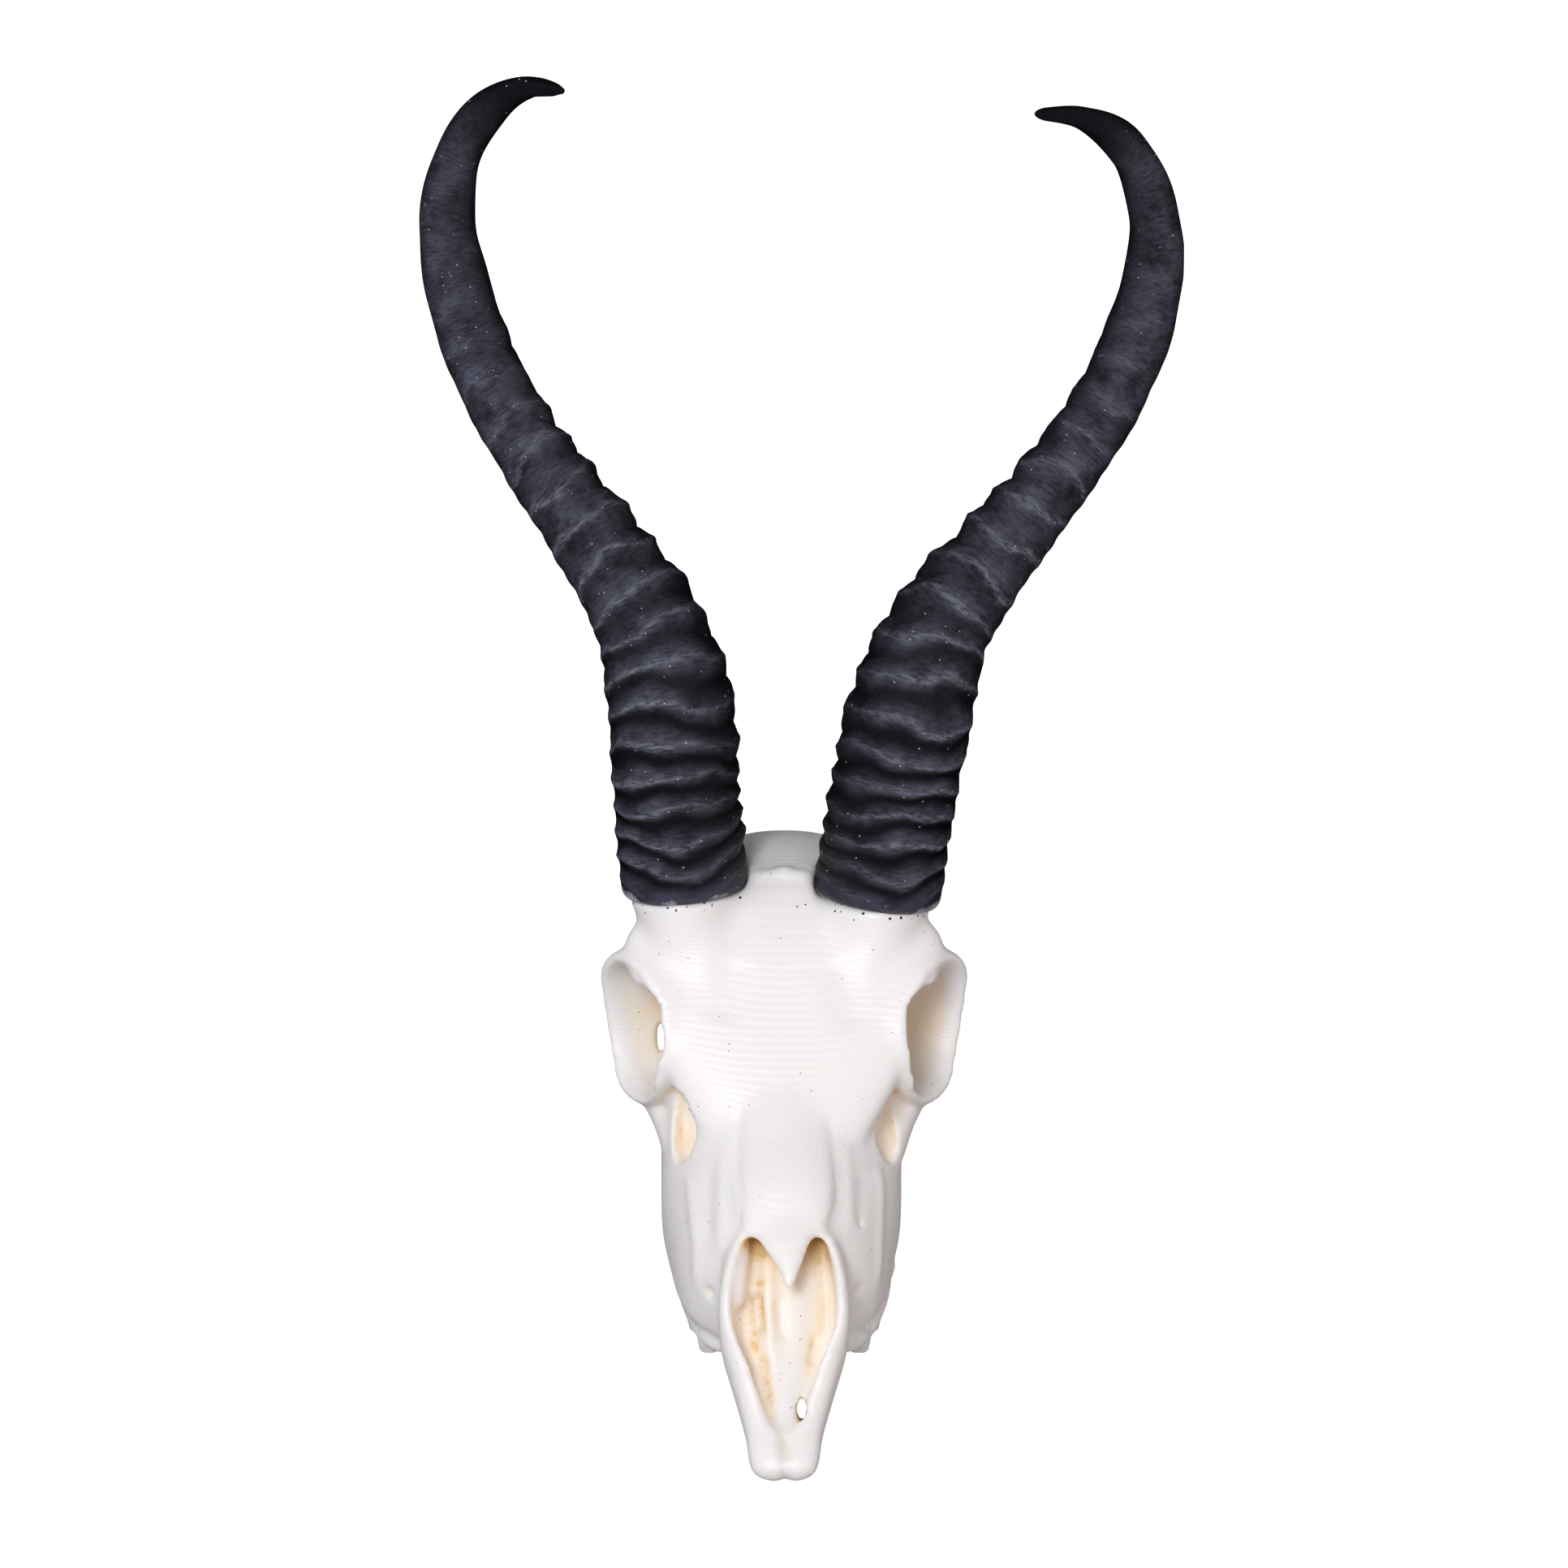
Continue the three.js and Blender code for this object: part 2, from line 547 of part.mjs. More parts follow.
const bone = new THREE.MeshStandardMaterial({ color: BONE_COLOUR, roughness: 0.45, metalness: 0 });
const enamel = new THREE.MeshStandardMaterial({ color: TOOTH_COLOUR, roughness: 0.4, metalness: 0 });
const paint = new THREE.MeshStandardMaterial({ color: HORN_COLOUR, roughness: 0.55, metalness: 0 });

const model = new THREE.Group();
model.add(node("skull", skullSolid(), bone));
for (const side of SIDES) {
  const word = side < 0 ? "left" : "right";
  model.add(node(`teeth_${word}`, toothRow(side), enamel));
  model.add(node(`horn_${word}`, horn(side), paint));
}

// The origin is the middle of the bounding box, at the level of the table.
const bounds = new THREE.Box3().setFromObject(model, true);
const middle = bounds.getCenter(vector(0, 0, 0));
model.position.set(-middle.x, -middle.y, -bounds.min.z);

export default model;
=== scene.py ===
# %% [markdown]
# A miniature springbok skull, cast in ivory resin, with two ringed horns painted black.
# The imported model is loaded first. It is a fixed frame: each piece made here stands for one of its
# solids and stays inside its box, which is kept now.

# %% Load the frame
import math

import bmesh
import bpy
import numpy as np
from mathutils import Matrix, Vector
from mathutils.bvhtree import BVHTree


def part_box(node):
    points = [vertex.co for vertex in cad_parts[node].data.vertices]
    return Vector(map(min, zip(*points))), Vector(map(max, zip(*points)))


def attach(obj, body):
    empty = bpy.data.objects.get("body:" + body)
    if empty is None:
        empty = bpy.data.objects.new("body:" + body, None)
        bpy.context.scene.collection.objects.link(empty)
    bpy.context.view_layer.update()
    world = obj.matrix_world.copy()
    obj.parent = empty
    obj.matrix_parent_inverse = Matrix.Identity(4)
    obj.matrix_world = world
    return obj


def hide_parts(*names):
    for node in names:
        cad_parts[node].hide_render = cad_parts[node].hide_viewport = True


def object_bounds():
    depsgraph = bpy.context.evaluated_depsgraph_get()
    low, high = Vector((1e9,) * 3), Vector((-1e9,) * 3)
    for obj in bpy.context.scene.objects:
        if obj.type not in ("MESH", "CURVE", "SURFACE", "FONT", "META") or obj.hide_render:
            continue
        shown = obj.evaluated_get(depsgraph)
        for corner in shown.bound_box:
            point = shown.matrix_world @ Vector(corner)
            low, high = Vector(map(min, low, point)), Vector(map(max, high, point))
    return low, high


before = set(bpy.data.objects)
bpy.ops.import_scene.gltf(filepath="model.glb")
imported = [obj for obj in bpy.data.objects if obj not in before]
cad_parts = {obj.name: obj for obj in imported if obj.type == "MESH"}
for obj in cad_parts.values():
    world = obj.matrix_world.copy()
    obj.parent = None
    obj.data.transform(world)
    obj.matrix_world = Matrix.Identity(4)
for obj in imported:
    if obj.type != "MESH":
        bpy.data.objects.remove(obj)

cad_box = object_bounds()
MM = 0.001
SIDES = {"left": -1, "right": 1}  # left is the side of -X

# %% [markdown]
# The shapes are worked out in millimetres on a bench of their own: x = 0 is the midline, y = 0 lies
# just before the snout and z = 0 is the table. The skull's own box says where that bench is in the
# frame, so a finished piece is moved there once, in its vertices.

# %% Bench to frame
SNOUT = 1.3  # the snout's first point on the bench
skull_low, skull_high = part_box("skull")
# The sockets reach 16.66 mm to either side, so the middle of the box is the midline.
BENCH = Vector(((skull_low.x + skull_high.x) / 2, skull_low.y - SNOUT * MM, 0.0))
print("bench origin in the frame, mm:", [round(c / MM, 2) for c in BENCH])

# %% [markdown]
# The photograph looks down at the face from the front at 40 degrees through a long lens, so the
# camera stands 600 mm away. It is made first, because places on the face are later found by looking
# along its lines of sight.

# %% Camera
AIM = np.array([0.0, 52.4, 39.1])
DISTANCE = 600.0
ELEVATION = math.radians(40)
LENS = 154.2  # on a 36 mm sensor
towards_eye = np.array([0.0, -math.cos(ELEVATION), math.sin(ELEVATION)])
EYE = AIM + DISTANCE * towards_eye


def to_frame(point):
    """A bench point in millimetres as a place in the frame, in metres."""
    return BENCH + Vector(point) * MM


camera_data = bpy.data.cameras.new("camera")
camera_data.lens = LENS
camera_data.sensor_width = 36
camera_data.clip_start = 0.01
camera = bpy.data.objects.new("camera", camera_data)
camera.location = to_frame(EYE)
camera.rotation_euler = (math.pi / 2 - ELEVATION, 0, 0)
bpy.context.scene.collection.objects.link(camera)
bpy.context.scene.camera = camera

# %% [markdown]
# Carved bone forms are lofts, sweeps and rounded lumps. Each starts as one of the mesh editor's own
# spheres or rings, whose points are then moved: a point is known by its share of a turn and its share
# of the way from pole to pole. The curves are the same centripetal ones that the solids were drawn on.


# %% Curves and tracks
def sharpened(value, power):
    """A power that keeps the sign."""
    return np.sign(value) * np.abs(value) ** power


def smooth(value, low, high):
    """From 0 at low to 1 at high, with no corner at either."""
    t = np.clip((np.asarray(value, float) - low) / (high - low), 0, 1)
    return t * t * (3 - 2 * t)


def unit(vectors):
    return vectors / np.linalg.norm(vectors, axis=-1, keepdims=True)


def curve(points, closed=False):
    """A centripetal curve through points. It gives places and headings for shares of its way."""
    p = np.array(points, float)
    if closed:
        knots, spans = np.vstack([p[-1:], p, p[:2]]), len(p)
    else:
        knots, spans = np.vstack([2 * p[:1] - p[1:2], p, 2 * p[-1:] - p[-2:-1]]), len(p) - 1

    def at(share):
        u = np.clip(np.asarray(share, float), 0, 1) * spans
        i = np.minimum(u.astype(int), spans - 1)
        w = (u - i)[..., None]
        a, b, c, d = (knots[i + k] for k in range(4))
        g0, g1, g2 = (
            np.sqrt(np.linalg.norm(n - m, axis=-1, keepdims=True))
            for m, n in ((a, b), (b, c), (c, d))
        )
        leave = ((b - a) / g0 - (c - a) / (g0 + g1) + (c - b) / g1) * g1
        arrive = ((c - b) / g1 - (d - b) / (g1 + g2) + (d - c) / g2) * g1
        k2 = 3 * (c - b) - 2 * leave - arrive
        k3 = 2 * (b - c) + leave + arrive
        heading = unit(leave + w * (2 * k2 + 3 * w * k3))
        return b + w * (leave + w * (k2 + w * k3)), heading

    return at


def track(positions, values):
    """Smooth values between listed ones: each leaves a listed value at its neighbours' slope."""
    x, v = np.array(positions, float), np.array(values, float)
    v = v.reshape(len(x), -1)
    slope = np.empty_like(v)
    slope[1:-1] = (v[2:] - v[:-2]) / (x[2:] - x[:-2])[:, None]
    slope[0], slope[-1] = (v[1] - v[0]) / (x[1] - x[0]), (v[-1] - v[-2]) / (x[-1] - x[-2])

    def at(place):
        q = np.clip(np.asarray(place, float), x[0], x[-1])
        i = np.clip(np.searchsorted(x, q, side="right") - 1, 0, len(x) - 2)
        step = (x[i + 1] - x[i])[..., None]
        w = (q - x[i])[..., None] / step
        k2 = 3 * (v[i + 1] - v[i]) - step * (2 * slope[i] + slope[i + 1])
        k3 = 2 * (v[i] - v[i + 1]) + step * (slope[i] + slope[i + 1])
        return np.moveaxis(v[i] + w * (step * slope[i] + w * (k2 + w * k3)), -1, 0)

    return at


# %% Bodies made from a sphere or a ring
def moved_to(bm, places):
    for vert, point in zip(bm.verts, places):
        vert.co = point
    bm.normal_update()
    bmesh.ops.recalc_face_normals(bm, faces=bm.faces)
    return bm


def ball(place, around, along):
    """A sphere whose points are moved to place(turn, share)."""
    bm = bmesh.new()
    bmesh.ops.create_uvsphere(bm, u_segments=around, v_segments=along, radius=1)
    x, y, z = np.array([v.co for v in bm.verts]).T
    turn = np.arctan2(y, x) / (2 * np.pi) % 1
    share = np.round(np.arccos(np.clip(z, -1, 1)) / np.pi * along) / along
    return moved_to(bm, place(turn, share))


def loft(stations, middle=0.0, around=96, along=110):
    """A body along Y. A station is [y, half width, height of the widest place, top, bottom,
    upper power, lower power]: a power of 2 rounds that half as an ellipse, a higher one squares it."""
    stations = np.array(stations, float)
    section = track(stations[:, 0], stations[:, 1:])

    def place(turn, share):
        inside = np.clip((share * along - 1) / (along - 2), 0, 1)
        y = stations[0, 0] + (stations[-1, 0] - stations[0, 0]) * inside
        width, widest, top, bottom, upper, lower = section(y)
        s, c = np.sin(2 * np.pi * turn), np.cos(2 * np.pi * turn)
        s[(share == 0) | (share == 1)] = 0
        c[(share == 0) | (share == 1)] = 0
        power = 2 / np.where(s > 0, upper, lower)
        rise = np.where(s > 0, top - widest, widest - bottom)
        x, z = middle + width * sharpened(c, power), widest + rise * sharpened(s, power)
        return np.stack([x, y, z], -1)

    return ball(place, around, along)


def about(heading, side, angle, wide, deep):
    """The way from a middle line out to the skin, at an angle that starts towards side."""
    a = unit(side - (heading @ side)[:, None] * heading)
    b = np.cross(heading, a)
    return a * (wide * np.cos(angle))[:, None] + b * (deep * np.sin(angle))[:, None]


def sweep(points, size, side=(1, 0, 0), blunt=0.5, around=32, along=40):
    """A body along a curve. size(share) gives its half axes: the first lies towards side.
    blunt 0 ends it flat, 0.5 about round and 1 as an ellipsoid."""
    at = curve(points)
    side = np.array(side, float)

    def place(turn, share):
        flat = np.clip((share * along - 1) / (along - 2), 0, 1)
        t = (1 - np.cos(np.pi * share)) / 2 if blunt else flat
        centre, heading = at(t)
        wide, deep = size(t)
        end = np.abs(np.sin(np.pi * share)) ** blunt if blunt else np.ones(len(share))
        end = np.where((share == 0) | (share == 1), 0, end)
        return centre + about(heading, side, 2 * np.pi * turn, wide * end, deep * end)

    return ball(place, around, along)


def globe(turn, share):
    """The points of a sphere of radius 1."""
    ring, angle = np.sin(np.pi * share), 2 * np.pi * turn
    return np.stack([ring * np.cos(angle), ring * np.sin(angle), np.cos(np.pi * share)], -1)


def lump(centre, half, yaw=0.0, pitch=0.0, around=40, along=28):
    """An ellipsoid, pitched about X and then turned about Z."""
    pitched = Matrix.Rotation(math.radians(pitch), 3, "X")
    turned = Matrix.Rotation(math.radians(yaw), 3, "Z") @ pitched

    def place(turn, share):
        return globe(turn, share) * half @ np.array(turned).T + np.array(centre)

    return ball(place, around, along)


def hoop(points, axis, depth, wall, around=24, along=160):
    """A band round a closed loop: depth(share) is its half width along axis, wall(share) half its
    thickness."""
    bm = bmesh.new()
    upright = Matrix.Translation((1, 0, 0)) @ Matrix.Rotation(math.pi / 2, 4, "X")
    bmesh.ops.create_circle(bm, segments=around, radius=0.3, matrix=upright)
    bmesh.ops.spin(
        bm, geom=bm.verts[:] + bm.edges[:], cent=(0, 0, 0), axis=(0, 0, 1), dvec=(0, 0, 0),
        angle=2 * math.pi, steps=along, use_merge=True, use_duplicate=False,
    )
    x, y, z = np.array([v.co for v in bm.verts]).T
    share = np.arctan2(y, x) / (2 * np.pi) % 1
    angle = np.arctan2(z, np.hypot(x, y) - 1)
    centre, heading = curve(points, closed=True)(share)
    across = unit(np.cross(heading, axis))
    return moved_to(
        bm,
        centre
        + np.outer(depth(share) * sharpened(np.cos(angle), 0.8), axis)
        + across * (wall(share) * sharpened(np.sin(angle), 0.8))[:, None],
    )


# %% [markdown]
# On the real miniature all the bone is one casting: no seam shows where one form runs into the next.
# A voxel skin does that here. It lays one even net over everything that overlaps, and a Boolean then
# carves the openings out of it.


# %% Bench tools
def on_bench(name, bodies):
    """One object that holds several bodies."""
    mesh = bpy.data.meshes.new(name)
    whole = bmesh.new()
    for body in bodies:
        part = bpy.data.meshes.new("part")
        body.to_mesh(part)
        body.free()
        whole.from_mesh(part)
        bpy.data.meshes.remove(part)
    whole.to_mesh(mesh)
    whole.free()
    piece = bpy.data.objects.new(name, mesh)
    bpy.context.scene.collection.objects.link(piece)
    return piece


def join_in(piece, bodies):
    """Adds bodies to a piece that is made already. A skin then unites them."""
    extra = on_bench("extra", bodies)
    joined = bmesh.new()
    joined.from_mesh(extra.data)
    joined.from_mesh(piece.data)
    joined.to_mesh(piece.data)
    joined.free()
    bpy.data.objects.remove(extra)


def settle(piece):
    """Applies the piece's modifiers to its mesh."""
    bpy.context.view_layer.update()
    evaluated = piece.evaluated_get(bpy.context.evaluated_depsgraph_get())
    applied = bpy.data.meshes.new_from_object(evaluated)
    old = piece.data
    piece.modifiers.clear()
    piece.data = applied
    bpy.data.meshes.remove(old)


def skin(piece, voxel):
    """Lays one net over all that overlaps."""
    net = piece.modifiers.new("skin", "REMESH")
    net.mode = "VOXEL"
    net.voxel_size = voxel
    net.use_smooth_shade = True
    settle(piece)


def carve(piece, cutters):
    """Takes each cutter out of the piece."""
    for cutter_body in cutters:
        cutter = on_bench("cutter", [cutter_body])
        knife = piece.modifiers.new("carve", "BOOLEAN")
        knife.operation = "DIFFERENCE"
        knife.solver = "MANIFOLD"
        knife.object = cutter
        settle(piece)
        bpy.data.objects.remove(cutter)


def block(low, high):
    bm = bmesh.new()
    size = [b - a for a, b in zip(low, high)]
    middle = [(a + b) / 2 for a, b in zip(low, high)]
    matrix = Matrix.Translation(middle) @ Matrix.Diagonal((*size, 1))
    bmesh.ops.create_cube(bm, size=1, matrix=matrix)
    return bm


# %% [markdown]
# The face is four forms run together: the cheeks that hold the tooth roots, the snout with its two
# prongs, the forehead with the brow over both eyes, and the cheekbones.

# %% The face
LEAN = -0.25  # how far the cheeks sit to one side, as they were carved
CHEEKS = [
    [13.5, 4.4, 8.0, 12.6, 3.2, 2.4, 3.0],
    [17.0, 5.4, 7.5, 14.9, 3.0, 2.1, 4.0],
    [20.0, 8.1, 6.6, 16.5, 2.7, 1.95, 5.0],
    [22.5, 9.2, 6.4, 17.8, 2.6, 1.95, 6.0],
    [26.0, 10.0, 6.8, 19.5, 2.6, 1.95, 6.0],
    [30.0, 10.7, 7.6, 21.1, 2.6, 2.05, 6.0],
    [33.0, 10.8, 8.4, 22.4, 2.6, 2.3, 5.0],
    [37.0, 10.7, 9.2, 24.2, 2.6, 2.5, 5.0],
    [41.0, 9.2, 9.6, 25.6, 3.2, 2.2, 4.0],
    [45.0, 6.2, 10.0, 25.4, 4.4, 2.0, 2.4],
    [49.0, 3.6, 10.5, 22.0, 5.6, 2.0, 2.0],
]
SNOUT_STATIONS = [
    [1.3, 1.8, 3.3, 4.3, 2.6, 2.4, 2.4],
    [1.9, 2.7, 3.4, 4.7, 2.2, 2.6, 2.6],
    [3.2, 3.1, 3.6, 5.1, 1.9, 3.0, 3.0],
    [5.5, 3.35, 4.0, 5.9, 1.8, 3.4, 3.2],
    [8.0, 4.0, 5.2, 7.5, 2.0, 3.6, 3.0],
    [10.0, 4.75, 7.0, 9.8, 2.2, 4.0, 2.6],
    [12.0, 5.6, 9.5, 12.4, 2.3, 4.0, 2.3],
    [14.0, 5.8, 11.0, 14.0, 2.5, 4.0, 2.2],
    [17.0, 5.5, 11.5, 15.6, 2.7, 3.4, 2.3],
    [20.0, 5.2, 11.0, 16.4, 3.0, 2.6, 2.4],
    [23.0, 4.6, 10.0, 16.6, 3.4, 2.4, 2.4],
]
FOREHEAD = [
    [27.0, 5.6, 15.4, 18.6, 12.0, 2.0, 2.0],
    [30.0, 7.8, 18.4, 20.7, 14.0, 2.2, 2.0],
    [33.0, 9.8, 20.4, 22.7, 15.0, 2.6, 2.0],
    [36.0, 11.6, 22.6, 24.6, 16.0, 2.8, 2.2],
    [39.0, 12.8, 24.4, 26.5, 18.0, 2.8, 2.4],
    [42.0, 13.8, 26.0, 28.4, 20.0, 2.6, 2.4],
    [45.0, 14.3, 26.6, 30.0, 20.0, 2.4, 2.4],
    [47.5, 12.8, 26.2, 31.0, 18.0, 2.4, 2.2],
    [50.0, 10.8, 24.6, 31.3, 17.0, 2.4, 2.0],
    [53.0, 9.0, 22.0, 30.3, 15.0, 2.2, 2.0],
]


def mirrored(side, points):
    return [[x * side, y, z] for x, y, z in points]


def cheekbone(side):
    bar_line = [[13.9, 41.0, 14.2], [14.4, 45.5, 14.8], [13.6, 51.0, 14.8], [10.6, 56.5, 13.4]]
    bar = sweep(mirrored(side, bar_line), lambda t: (0.8, 1.3 + 0.5 * t), blunt=0.4)
    root = sweep(
        mirrored(side, [[9.2, 31.5, 12.0], [10.4, 36.0, 13.2], [13.0, 40.6, 14.6]]),
        lambda t: (1.5 - 0.3 * t, 2.4 - 1.0 * t), blunt=0.4,
    )
    return [bar, root]


# How wide the meshes of the skull's nets are, one after the other, in mm.
FIRST_NET, SECOND_NET, LAST_NET = 0.3, 0.34, 0.31
skull = on_bench("resin_skull", [
    loft(CHEEKS, middle=LEAN), loft(SNOUT_STATIONS), loft(FOREHEAD), *cheekbone(-1), *cheekbone(1),
])
skin(skull, FIRST_NET)
print("face:", len(skull.data.polygons), "faces")

# %% [markdown]
# The nose is hollow: it opens above in front and runs back under the nasal bones.

# %% Hollow of the nose
NOSE_HOLLOW = [
    [4.6, 0.6, 6.2, 8.0, 4.8, 3.0, 2.0],
    [6.0, 1.5, 6.4, 9.4, 4.5, 3.0, 2.4],
    [8.0, 2.2, 7.4, 11.6, 4.4, 3.0, 2.6],
    [10.0, 3.2, 8.8, 14.0, 4.5, 3.4, 2.6],
    [12.2, 4.5, 11.0, 17.5, 4.8, 4.0, 2.6],
    [15.5, 4.5, 12.0, 19.0, 5.2, 4.0, 2.4],
    [18.0, 4.1, 11.5, 17.0, 5.6, 3.6, 2.4],
    [21.0, 3.8, 11.5, 15.0, 6.4, 2.6, 2.2],
    [25.0, 3.0, 12.0, 15.4, 8.0, 2.2, 2.0],
    [28.0, 1.2, 12.6, 14.4, 10.6, 2.0, 2.0],
]

carve(skull, [loft(NOSE_HOLLOW)])
print("hollowed face:", len(skull.data.polygons), "faces")

# %% [markdown]
# The nasal bones make a vault that ends in a free point over the nose. Behind the forehead come the
# braincase, the flat-topped pedicles that carry the horns, and what stands round the base of the
# skull: the joints of the neck, the ear capsules and tubes, and the points below the ears.

# %% Nasal bones, braincase and base
BRAINCASE = [
    [44.0, 5.4, 18.0, 28.0, 9.5, 2.0, 2.0],
    [47.5, 8.6, 18.8, 30.6, 8.0, 2.1, 2.0],
    [51.5, 10.0, 18.6, 31.0, 7.0, 2.1, 2.0],
    [55.5, 10.4, 18.2, 29.9, 6.6, 2.1, 2.1],
    [59.0, 10.1, 17.2, 27.9, 6.4, 2.2, 2.2],
    [62.0, 9.7, 16.0, 25.4, 6.4, 2.3, 2.3],
    [64.4, 8.6, 14.8, 22.2, 7.0, 2.3, 2.2],
    [65.8, 6.0, 13.6, 18.6, 8.0, 2.2, 2.0],
    [66.2, 3.6, 13.2, 16.4, 9.6, 2.0, 2.0],
]
HORN_BASE = {-1: np.array([-9.0, 48.3, 29.9]), 1: np.array([8.35, 48.0, 29.3])}
HORN_AXIS = {-1: np.array([-0.06, 0.47, 0.88]), 1: np.array([0.07, 0.47, 0.88])}
HORN_AXIS = {side: axis / np.linalg.norm(axis) for side, axis in HORN_AXIS.items()}


def nasals():
    tongue = sweep(
        [[0.45, 13.6, 13.8], [0.45, 16.0, 14.7], [0.2, 18.2, 15.5], [0, 21.5, 16.6]],
        lambda t: (0.7 + 3.3 * t ** 1.6, 0.6 + 0.4 * t), around=48, along=60,
    )
    vault = sweep(
        [[0, 18.4, 15.4], [0, 22.5, 16.7], [0, 29, 17.9], [0, 36, 20.6], [0, 42, 23.2]],
        lambda t: (4.2 + 1.6 * t, 1.0 + 1.5 * smooth(t, 0, 0.5)),
        blunt=0.25, around=64, along=80,
    )
    return [tongue, vault]


def pedicle(side):
    top, axis = HORN_BASE[side], HORN_AXIS[side]
    foot = top - 7.5 * axis
    foot[0] -= 0.8 * side
    core = sweep(
        [foot, top - 3 * axis, top],
        lambda t: (4.2 + 0.9 * t ** 4, 5.3 + 0.2 * t), blunt=0, around=64,
    )
    ramp = sweep(
        mirrored(side, [[8.0, 46.2, 28.7], [7.4, 43.5, 26.9], [6.2, 39.3, 23.5]]),
        lambda t: (3.7 - 1.0 * t, 3.1 - 0.7 * t), around=48,
    )
    return [core, ramp]


def gum(side):
    """Bone swollen round the roots of the teeth, from beside the snout back."""
    line = [[5, 18.2, 2.5], [5.9, 20, 2.2], [6.9, 22.4, 2.3], [7.9, 25.5, 2.7], [8.8, 38.6, 3]]
    return sweep(mirrored(side, line), lambda t: (1.5 + 0.35 * smooth(t, 0, 0.4), 1.5), blunt=0.6)


def skull_base(side):
    return [
        lump([3.3 * side, 65.2, 8.8], [2.1, 2.6, 3.0], yaw=18 * side),
        lump([6.0 * side, 56.8, 6.4], [2.5, 3.7, 3.8], yaw=12 * side),
        sweep(
            mirrored(side, [[7.0, 57.4, 9.6], [11.0, 58.6, 12.6]]),
            lambda t: (1.4, 1.4), side=(0, 1, 0),
        ),
        sweep(
            mirrored(side, [[7.2, 62.6, 11.0], [7.9, 62.8, 5.0], [7.6, 62.0, -0.4]]),
            lambda t: (2.0 - 0.9 * t, 2.2 - 1.0 * t), blunt=0.3,
        ),
        sweep(
            mirrored(side, [[3.4, 37.0, 6.0], [3.3, 44.0, 6.6], [3.1, 52.0, 8.4]]),
            lambda t: (0.7, 3.6 - 1.6 * t), blunt=0.3,
        ),
        sweep(
            mirrored(side, [[0, 64.9, 21.4], [4.6, 64.5, 20.2], [8.4, 63.0, 16.2], [9.0, 61.4, 12.0]]),
            lambda t: (0.9, 0.9), blunt=0.4,
        ),
    ]


base = sweep([[0, 48, 8.4], [0, 57, 7.0], [0, 65, 7.4]], lambda t: (2.8, 2.0), blunt=0.3)
# The nose was cast nearly full: a broad floor rises towards the back, with a leaning ridge along it.
nose_ridge = sweep(
    [[-0.9, 10.5, 5.8], [-1.2, 13.5, 7.9], [-1.4, 16.5, 10.6], [-1.4, 20, 12.8]],
    lambda t: (0.75, 0.9 + 0.4 * t),
)
nose_floor = sweep(
    [
        [0.2, 4.6, 4.2], [0.2, 8, 4.7], [0.1, 11.5, 5.9],
        [0, 15, 8.3], [0, 18.5, 11.2], [0, 26, 13.6],
    ],
    lambda t: (1.5 + 2.8 * smooth(t, 0.1, 0.5), 1.0 + 0.4 * t),
)
scroll = sweep([[-4.1, 14.5, 11.0], [-3.8, 17.0, 12.4], [-3.2, 20, 13.4]], lambda t: (0.7, 1.4))
join_in(skull, [
    loft(BRAINCASE), base, nose_ridge, nose_floor, scroll, *nasals(),
    *[body for side in (-1, 1) for body in (*pedicle(side), *skull_base(side), gum(side))],
])
skin(skull, FIRST_NET)
print("whole bone:", len(skull.data.polygons), "faces")

# %% [markdown]
# The eye sockets are carved last, with the palate, the throat, the hole for the spine and the cleft
# between the prongs. Each socket then gets its rim: a band that is deepest at the back, where the bar
# behind the eye shows its inner face.

# %% Openings and socket rims
SOCKET_RIM = [
    [13.2, 41.2, 27.0], [15.0, 43.8, 26.0], [16.4, 45.5, 22.9], [16.2, 45.3, 19.2],
    [15.6, 43.4, 15.8], [14.8, 40.2, 14.0], [12.8, 36.4, 15.4], [11.6, 34.2, 19.2],
    [11.2, 35.0, 22.8], [11.3, 37.6, 25.4],
]
RIM_WALL = [0.75, 0.45]  # half its thickness: round the outer side, and where it meets the forehead
HORN_LINE = {
    -1: [
        [-8.7, 47.7, 28.4], [-9.6, 52.7, 37.6], [-10.2, 57.3, 45.1], [-12.4, 62.7, 50.0],
        [-17.1, 68.2, 54.9], [-22.3, 74.1, 59.4], [-26.5, 79.7, 64.0], [-29.2, 84.8, 69.4],
        [-30.3, 88.8, 75.5], [-29.0, 91.2, 81.0], [-26.3, 92.2, 84.7], [-23.0, 92.0, 87.0],
        [-19.5, 90.6, 87.6],
    ],
    1: [
        [8.1, 47.6, 28.0], [9.7, 52.6, 37.4], [11.3, 56.8, 44.2], [13.7, 62.0, 48.9],
        [18.3, 67.0, 53.0], [23.8, 72.4, 57.3], [28.8, 77.9, 62.0], [32.2, 83.2, 67.4],
        [33.5, 87.2, 73.2], [32.4, 89.6, 78.6], [30.1, 90.6, 82.3], [26.6, 90.6, 84.7],
        [22.3, 90.0, 85.6],
    ],
}


def socket_rim(side):
    axis = np.array([0.9 * side, -0.36, 0.05])
    axis /= np.linalg.norm(axis)

    def depth(t):
        return 1.1 + 2.3 * np.maximum(0, np.sin(np.pi * (t * 1.45 + 0.02)))

    def wall(t):
        thin = np.where(t > 0.5, smooth(t, 0.54, 0.66), 1 - smooth(t, 0.02, 0.14))
        return RIM_WALL[0] + (RIM_WALL[1] - RIM_WALL[0]) * thin

    def sunk(t):
        """How far the band's edge lies in: it stands proud by 0.2, but not on the forehead."""
        return depth(t) - 0.2 + 0.3 * (RIM_WALL[0] - wall(t))

    loop = [
        np.array(p) - axis * sunk(i / len(SOCKET_RIM))
        for i, p in enumerate(mirrored(side, SOCKET_RIM))
    ]
    return hoop(loop, axis, depth, wall)


